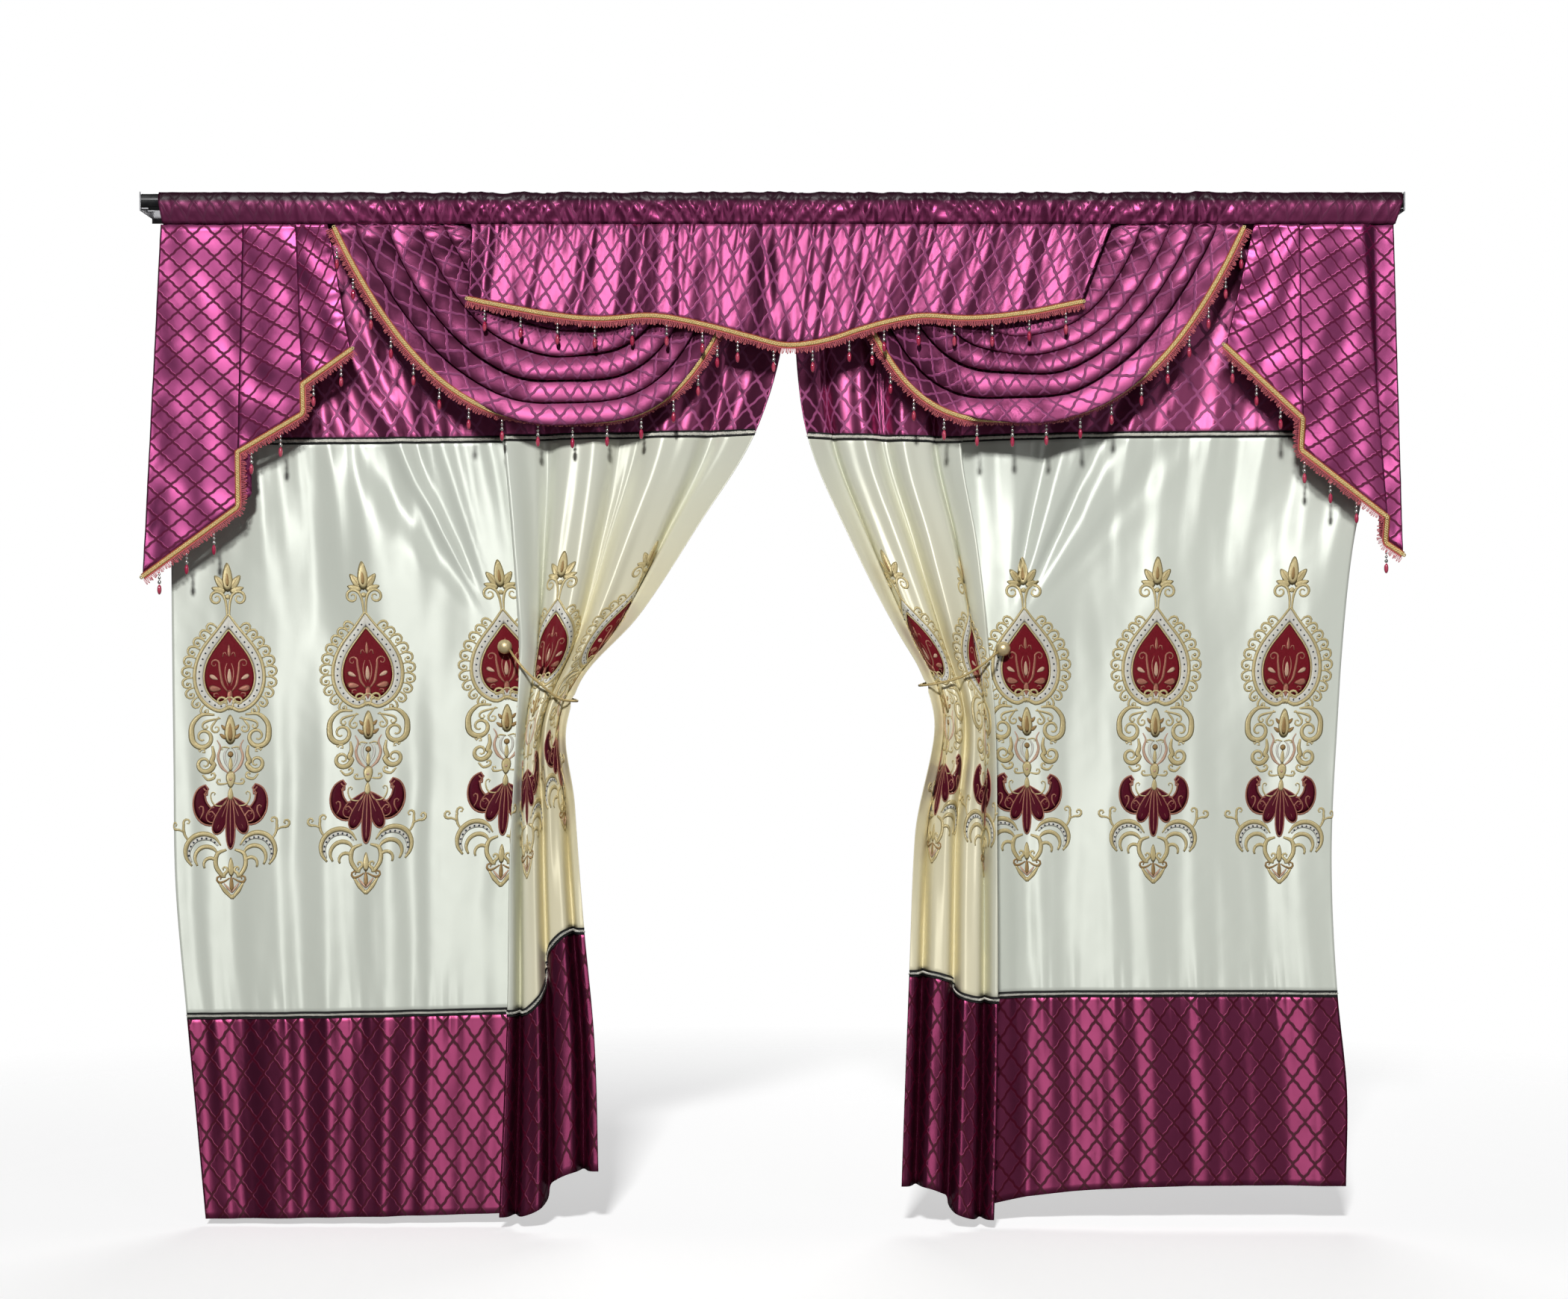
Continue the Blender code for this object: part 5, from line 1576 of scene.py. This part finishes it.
def make_seam_braid(panel, part, seam, size, kit):
    """A black ribbon with a row of silver plait down its middle, sewn over a seam."""
    across = np.linspace(0.05, PANEL_WIDTH - 0.05, 260)
    down = np.full_like(across, seam)
    lift = np.full_like(across, BRAID_LIFT)
    points = on_panel(panel, across, down, lift)
    below = on_panel(panel, across, down + 0.5, lift)
    tangent = unit(np.gradient(points, axis=0))
    outward = below - points
    outward = unit(outward - tangent * np.sum(outward * tangent, axis=1, keepdims=True))
    line = Line(points, outward, unit(np.cross(tangent, outward)) * -panel.hand)
    name = f"panel_{panel.side}_{part}"
    parts = [strip(line, box_profile(-BRAID_HALF, BRAID_HALF, 0.0009))]
    parts += [strip(moved(line, side * BRAID_EDGE, 0.0006), ring_profile(0.0012, 5)) for side in (-1, 1)]
    dress(joined(name + "_ribbon", parts, kit.finishes["braid_black"]), [name])
    plait = repeated(
        name + "_plait",
        kit.trees["along"],
        moved(line, 0, 0.0008),
        kit.pieces["plait"],
        kit.finishes["braid_silver"],
        spacing=PLAIT_STEP,
        size=size,
        uneven=0.12,
        seed=3,
    )
    dress(plait, [name])


# The valance's trims

def bead_marks(length, spacing, bare):
    """Even places for the bead strings, but none where the hem steps back and is bare."""
    count = max(1, round(length / spacing))
    marks = (np.arange(count) + 0.5) * length / count
    for start, end in bare:
        marks = marks[(marks < start * length - BEAD_CLEAR) | (marks > end * length + BEAD_CLEAR)]
    return marks


def make_trim(name, place, way, spacing, kit, bare=()):
    """Gold gimp on the cloth's edge, a red looped fringe under it, and bead drops."""
    line = hem_line(place, way)
    gimp = moved(line, GIMP_LAP, GIMP_THICKNESS)
    edge = GIMP_HALF + EDGE_CORD / 2

    def strips(part, finish, *rows):
        """Strips beside the gimp: how far out and up, and the profile of each."""
        made = [strip(moved(gimp, out, up), profile) for out, up, profile in rows]
        dress(joined(f"{name}_{part}", made, kit.finishes[finish]), [name])

    def copies(part, finish, way, line, **settings):
        made = repeated(
            f"{name}_{part}", kit.trees[way], line, kit.pieces[part], kit.finishes[finish], **settings
        )
        dress(made, [name])

    strips("gimp", "gimp_gold", (0, 0, box_profile(-GIMP_HALF, GIMP_HALF, GIMP_THICKNESS)))
    strips("core", "gimp_core", (0, 0.0007, box_profile(-GIMP_CORE, GIMP_CORE, GIMP_THICKNESS)))
    rim = ring_profile(GIMP_RIM, 5)
    strips("rims", "gimp_gold", *((side * (GIMP_HALF - 0.001), 0.0008, rim) for side in (-1, 1)))
    scrolls = moved(gimp, 0, GIMP_THICKNESS)
    copies("scrolls", "gimp_bright", "along", scrolls, spacing=SCROLL_STEP, uneven=0.06, seed=5)
    strips("edge_cord", "fringe_red", (edge, 0.0004, ring_profile(EDGE_CORD, 5)))
    loops = moved(gimp, edge, 0)
    copies("loops", "fringe_red", "along", loops, spacing=LOOP_STEP, uneven=0.22, seed=7)

    run = lengths(line.points)
    marks = bead_marks(run[-1], spacing, bare)
    root = line.points + line.outward * BEAD_ROOT
    hung = np.stack([np.interp(marks, run, root[:, k]) for k in range(3)], axis=1)
    flat = np.zeros_like(hung)
    strings = Line(hung, flat + (0, 1, 0), flat + (0, 0, 1))
    for part, finish in (
        ("bead_threads", "fringe_red"),
        ("silver_beads", "bead_silver"),
        ("red_drops", "bead_red"),
    ):
        copies(part, finish, "points", strings, uneven=0.03, seed=11)


def loop_piece():
    """One loop of the fringe: a thread that goes down and comes back up."""
    turn = np.linspace(0, np.pi, 6)
    across, down = -0.0016 * np.cos(turn), LOOP_DROP * np.sin(turn) ** 0.8
    centre = np.stack([across, down, 0.0006 * np.sin(turn)], axis=1)
    return small_piece("fringe_loop", *swept(centre, ring_profile(0.0008, 3), (0, 0, 1)))


def scroll_piece():
    """One turn of the gimp's raised scroll."""
    turn = np.linspace(0, 2 * np.pi, 8)
    points, faces = [], []
    for side in (-1, 1):
        sway, lift = side * SCROLL_SWAY * np.sin(turn), 0.0008 * side * np.cos(turn)
        centre = np.stack([0.0112 * (turn / (2 * np.pi) - 0.5), sway, lift], axis=1)
        ring_points, ring_faces = swept(centre, ring_profile(0.0016, 4), (0, 0, 1))
        faces.extend(tuple(index + len(points) for index in face) for face in ring_faces)
        points.extend(ring_points)
    return small_piece("gimp_scroll", points, faces)


def plait_piece():
    """One slanted lay of the silver plait."""
    turn = np.linspace(0, 1, 4)
    along, across = 0.0050 * (turn - 0.5), PLAIT_SWAY * (turn - 0.5) * 2
    centre = np.stack([along, across, 0.0008 * np.sin(np.pi * turn)], axis=1)
    return small_piece("plait_lay", *swept(centre, ring_profile(0.0015, 4), (0, 0, 1)))


def small_pieces():
    """The pieces that are repeated, by the names of the trims' parts that they make."""
    silver = [row for bead in SILVER_BEADS for row in bead_profile(*bead)]
    return {
        "loops": loop_piece(),
        "scrolls": scroll_piece(),
        "plait": plait_piece(),
        "silver_beads": turned_piece("silver_beads", silver, 8),
        "red_drops": turned_piece("red_drops", bead_profile(*RED_DROP, 8), 8),
        "bead_threads": turned_piece("bead_threads", [(-0.006, 0.0006), (0.030, 0.0006)], 4),
    }


# The ties

def tie_route(panel):
    """The tie's route in metres: over the drawn part's front, round its inner edge and back behind."""
    inward = panel.hand
    ball = BALL_RADIUS / CM
    gap = panel.tie_z_in - panel.tie_z
    x_in = panel.tie_x_in
    route = (
        (panel.tie_x + inward * (ball + 0.1) * 0.75, -9.6, panel.tie_z + ball * 0.5),
        (panel.tie_x + inward * 2.4, -12.6, panel.tie_z + gap * 0.17),
        (panel.tie_x + inward * 5.0, -13.8, panel.tie_z + gap * 0.42),
        (panel.tie_x + inward * 9.5, -13.6, panel.tie_z + gap * 0.74),
        (x_in - inward * 1.8, -12.4, panel.tie_z_in - 0.5),
        (x_in + inward * 1.9, -10.2, panel.tie_z_in),
        (x_in + inward * 1.4, -7.0, panel.tie_z_in - 0.2),
        (x_in - inward * 2.4, -4.6, panel.tie_z_in - 1.4),
        (panel.tie_x + inward * 7.5, -3.6, panel.tie_z + gap * 0.5),
        (panel.tie_x + inward * (ball + 0.15), -3.4, panel.tie_z + 0.6),
    )
    return to_metres(*np.array(route).T)


Mark = namedtuple("Mark", "run x y z")


def smooth_route(points, count):
    """Points spaced evenly along a smooth curve through a route's own points."""
    run = lengths(points)
    rows = [Mark(length, *point) for length, point in zip(run, points)]
    where = np.linspace(0, run[-1], count)
    return np.stack([smooth(rows, axis, where) for axis in "xyz"], axis=1)


def make_ball(node, finishes):
    """A turned ball in the place of a tie's ball node."""
    low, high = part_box(node)
    middle = (np.array(low) + np.array(high)) / 2
    bm = bmesh.new()
    bmesh.ops.create_uvsphere(bm, u_segments=40, v_segments=24, radius=BALL_RADIUS)
    for vertex in bm.verts:
        vertex.co = Vector(middle) + vertex.co
    mesh = bpy.data.meshes.new(node + "_turned")
    bm.to_mesh(mesh)
    bm.free()
    mesh.shade_smooth()
    mesh.materials.append(finishes["ball_gold"])
    return dress(added(node + "_turned", mesh), [node])


def make_tie(panel, finishes):
    """A three-strand gold cord between a ball before the cloth and a ball behind it."""
    route = smooth_route(tie_route(panel), 120)
    run = lengths(route)
    turn = np.linspace(0, 2 * np.pi, 12, endpoint=False)

    def section(k):
        lay = run[k] / CORD_LAY * 2 * np.pi
        radius = CORD_RADIUS * (0.93 + 0.10 * np.cos(3 * (turn - lay)))
        return list(zip(radius * np.cos(turn), radius * np.sin(turn)))

    name = "tie_cord_" + panel.side
    around = np.tile(turn * CORD_RADIUS, len(route))
    places = np.stack([np.repeat(run, len(turn)), around], axis=1)
    cord = mesh_object(name + "_rope", *swept(route, section), places, [finishes["cord_gold"]])
    dress(cord, [name])
    [make_ball(f"tie_ball_{panel.side}_{place}", finishes) for place in ("front", "rear")]


# The set, its stage and its light

def make_camera():
    """Square on to the curtain, as wide as the picture."""
    camera = bpy.data.cameras.new("camera")
    camera.sensor_fit = "HORIZONTAL"
    camera.sensor_width = 36.0
    camera.lens = 36.0 * CAMERA_DISTANCE / (PHOTO_WIDTH * PIXEL)
    camera.dof.use_dof = False
    stand = added("camera", camera)
    x = (PHOTO_MIDDLE[0] - PHOTO_ORIGIN[0]) * PIXEL
    z = (PHOTO_ORIGIN[1] - PHOTO_MIDDLE[1]) * PIXEL
    stand.location = (x, -0.12 - CAMERA_DISTANCE, z)
    stand.rotation_euler = (np.pi / 2, 0, 0)
    bpy.context.scene.camera = stand


Lamp = namedtuple("Lamp", "name place aim size power")
LAMPS = (
    Lamp("key", (-1.4, -17.0, 8.8), (0, 0, -1.0), (1.6, 1.6), 3400),
    Lamp("fill", (2.8, -5.6, -0.6), (0, 0, -1.1), (2.0, 2.4), 22),
    Lamp("back", (0.5, 4.5, 1.4), (0, 0, -1.1), (3.0, 2.0), 90),
)


def make_lamp(lamp):
    light = bpy.data.lights.new(lamp.name, "AREA")
    light.shape = "RECTANGLE"
    light.size, light.size_y = lamp.size
    light.energy = lamp.power
    stand = added(lamp.name, light)
    stand.location = lamp.place
    stand.rotation_euler = (Vector(lamp.aim) - Vector(lamp.place)).to_track_quat("-Z", "Y").to_euler()


def make_stage():
    """A pale floor that fades into a white room, a soft lamp before the set, and weak light all round."""
    mesh = bpy.data.meshes.new("floor")
    bm = bmesh.new()
    bmesh.ops.create_circle(bm, cap_ends=True, segments=96, radius=FLOOR_RADIUS)
    for vertex in bm.verts:
        vertex.co += Vector(FLOOR_PLACE)
    bm.to_mesh(mesh)
    bm.free()
    material = bpy.data.materials.new("floor_pale")
    material.use_nodes = True
    tree = material.node_tree
    shader = tree.nodes["Principled BSDF"]
    shader.inputs["Roughness"].default_value = 0.9
    shader.inputs["Emission Color"].default_value = (1, 1, 1, 1)
    seen = add_node(tree, "ShaderNodeLightPath").outputs["Is Camera Ray"]
    tree.links.new(maths(tree, "MULTIPLY", seen, 0.40), shader.inputs["Emission Strength"])
    tree.links.new(mixed(tree, seen, (0.16, 0.16, 0.16), (0.86, 0.86, 0.86)), shader.inputs["Base Color"])
    place = add_node(tree, "ShaderNodeTexCoord").outputs["Object"]
    flat = add_node(tree, "ShaderNodeVectorMath", {0: place, 1: (1, 1, 0)}, operation="MULTIPLY").outputs[0]
    reach = add_node(tree, "ShaderNodeVectorMath", {0: flat}, operation="LENGTH").outputs["Value"]
    tree.links.new(ranged(tree, reach, 1.0, 0.0, 1.6, 4.2), shader.inputs["Alpha"])
    mesh.materials.append(material)
    added("floor", mesh)

    world = bpy.data.worlds.new("studio")
    world.use_nodes = True
    tree = world.node_tree
    shown = tree.nodes["Background"]
    shown.inputs["Color"].default_value = (1, 1, 1, 1)
    place = add_node(tree, "ShaderNodeTexCoord").outputs["Generated"]
    height = add_node(tree, "ShaderNodeSeparateXYZ", {0: place}).outputs["Z"]
    colour = mixed(tree, ranged(tree, height, 0.0, 1.0, -0.3, 0.6), (0.40, 0.40, 0.42), (0.12, 0.12, 0.13))
    weak = add_node(tree, "ShaderNodeBackground", {"Color": colour, "Strength": 0.20})
    path = add_node(tree, "ShaderNodeLightPath").outputs["Is Camera Ray"]
    mix = add_node(tree, "ShaderNodeMixShader", {0: path, 1: weak.outputs[0], 2: shown.outputs[0]})
    tree.links.new(mix.outputs[0], tree.nodes["World Output"].inputs["Surface"])
    bpy.context.scene.world = world
    bpy.context.scene.view_settings.view_transform = "Standard"

    for lamp in LAMPS:
        make_lamp(lamp)


# The finishes' values: colours are linear, and sizes are in metres

Satin = namedtuple(
    "Satin",
    "name ground lines dents crinkle width height long rough dusk",
    defaults=(2.0, 1.2, 0.053, 0.071, 0.88, 0.39, False),
)
# All five plum satins are one cloth. Their ground and line colours are set part by part to match how each
# part is lit: painted shade darkens the ground of the skirt, swags and bottom bands, and the lattice lines
# are painted lighter than the ground on the top bands, skirt and swags and darker on the tails, bottom bands
# and heading
SATINS = (
    Satin("plum_satin", (0.175, 0.036, 0.092), (0.24, 0.050, 0.145)),
    Satin("plum_satin_top", (0.33, 0.070, 0.170), (0.36, 0.088, 0.22)),
    Satin("plum_satin_bands", (0.180, 0.029, 0.077), (0.060, 0.001, 0.012), 1.5, 0.6, long=0.92, rough=0.335),
    Satin("plum_satin_tails", (0.285, 0.054, 0.156), (0.105, 0.004, 0.036), 1.6, 1.0, 0.052, 0.050, 0.70),
    Satin("plum_satin_crushed", (0.30, 0.050, 0.150), (0.20, 0.03, 0.10), 2.0, 1.0, long=0.6, dusk=True),
)
Thread = namedtuple(
    "Thread", "name dark light metallic roughness pitch slant shine", defaults=(0.0008, 1.0, 0.5)
)
# Each thread's dark and light colours are its one colour with painted shade in the grooves between its turns
# and painted highlight on its ridges
THREADS = (
    Thread("braid_black", (0.008, 0.008, 0.008), (0.03, 0.03, 0.03), 0.2, 0.5),
    Thread("braid_silver", (0.85, 0.82, 0.70), (1.0, 0.99, 0.92), 0.08, 0.4),
    Thread("gimp_gold", (0.34, 0.04, 0.02), (0.80, 0.20, 0.09), 0.1, 0.5),
    Thread("gimp_core", (0.66, 0.34, 0.11), (0.92, 0.64, 0.28), 0.2, 0.45),
    Thread("gimp_bright", (0.86, 0.62, 0.22), (1.0, 0.92, 0.58), 0.30, 0.36),
    Thread("fringe_red", (0.62, 0.07, 0.11), (1.0, 0.36, 0.38), 0.05, 0.5),
    Thread("cord_gold", (0.52, 0.36, 0.12), (0.86, 0.70, 0.36), 0.35, 0.38),
    Thread("thread_gold", (0.52, 0.40, 0.16), (0.88, 0.77, 0.46), 0.30, 0.38, 0.0012, 0.4),
    Thread("thread_bronze", (0.26, 0.15, 0.05), (0.58, 0.38, 0.16), 0.35, 0.4, 0.0012, -0.6),
    Thread("thread_burgundy", (0.11, 0.004, 0.009), (0.27, 0.014, 0.026), 0.0, 0.5, 0.0012, 0.5, 0.12),
    Thread("thread_wine", (0.05, 0.002, 0.010), (0.14, 0.008, 0.024), 0.0, 0.5, 0.0012, 0.9, 0.12),
    Thread("thread_copper", (0.28, 0.09, 0.06), (0.66, 0.30, 0.20), 0.35, 0.38, 0.0012, 1.0),
    Thread("thread_peach", (0.50, 0.30, 0.20), (0.84, 0.58, 0.42), 0.2, 0.4, 0.0012, -1.0),
    Thread("thread_cream", (0.62, 0.60, 0.52), (0.88, 0.87, 0.80), 0.1, 0.4, 0.0012, 0.8),
    Thread("thread_slate", (0.02, 0.03, 0.05), (0.07, 0.09, 0.13), 0.1, 0.45),
)
Hard = namedtuple("Hard", "name colour worn metallic roughness size bump coat", defaults=(40.0, 0.0, 0.0))
HARDS = (
    Hard("bead_silver", (0.85, 0.84, 0.82), (0.60, 0.58, 0.55), 0.9, 0.18),
    Hard("bead_red", (0.42, 0.02, 0.07), (0.62, 0.10, 0.16), 0.0, 0.10, coat=1.0),
    Hard("ball_gold", (0.80, 0.66, 0.38), (0.66, 0.50, 0.26), 0.55, 0.34, 60.0, 0.0002),
    Hard("rod_paint", (0.018, 0.018, 0.020), (0.05, 0.05, 0.05), 0.3, 0.38, 30.0, 0.00005),
    Hard("bracket_metal", (0.34, 0.34, 0.35), (0.22, 0.22, 0.23), 0.9, 0.35, 50.0, 0.00005),
)


def make_finishes():
    palette = Palette()
    finishes = {"cream_satin": palette.cream_satin()}
    for make, rows in ((palette.plum_satin, SATINS), (palette.laid_thread, THREADS), (palette.hard, HARDS)):
        finishes.update({row.name: make(row) for row in rows})
    return finishes


Kit = namedtuple("Kit", "finishes trees pieces")


def main():
    make_camera()
    finishes = make_finishes()
    for panel in (LEFT_PANEL, RIGHT_PANEL):
        make_tie(panel, finishes)
    for name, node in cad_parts.items():
        if name.startswith(("rod_", "bracket_")):
            node.data.materials.clear()
            node.data.materials.append(finishes["rod_paint" if name.startswith("rod_") else "bracket_metal"])
    trees = {"along": repeat_tree("Repeat along a line", True), "points": repeat_tree("Set on points", False)}
    kit = Kit(finishes, trees, small_pieces())
    for panel in (LEFT_PANEL, RIGHT_PANEL):
        make_panel(panel, finishes)
        embroider(panel, finishes)
        make_seam_braid(panel, "upper_braid", UPPER_SEAM, 1.0, kit)
        make_seam_braid(panel, "lower_braid", LOWER_SEAM, 0.72, kit)
    make_valance(finishes)
    make_trim("trim_skirt", lambda f: skirt_point(f, np.ones_like(f)), straight_down, SKIRT_BEADS, kit)
    for swag in SWAGS:
        make_trim("trim_swag_" + swag.side, swag_hem(swag), swag_outward(swag), SWAG_BEADS, kit)
    for side, creases in TAILS:
        corners = tail_hem(creases)
        run = lengths(np.array(corners))
        share = run / run[-1]
        bare = [(share[1], share[2]), (share[3], share[4])]
        make_trim("trim_tail_" + side, *bent_line(corners), TAIL_BEADS, kit, bare)
    make_stage()


main()
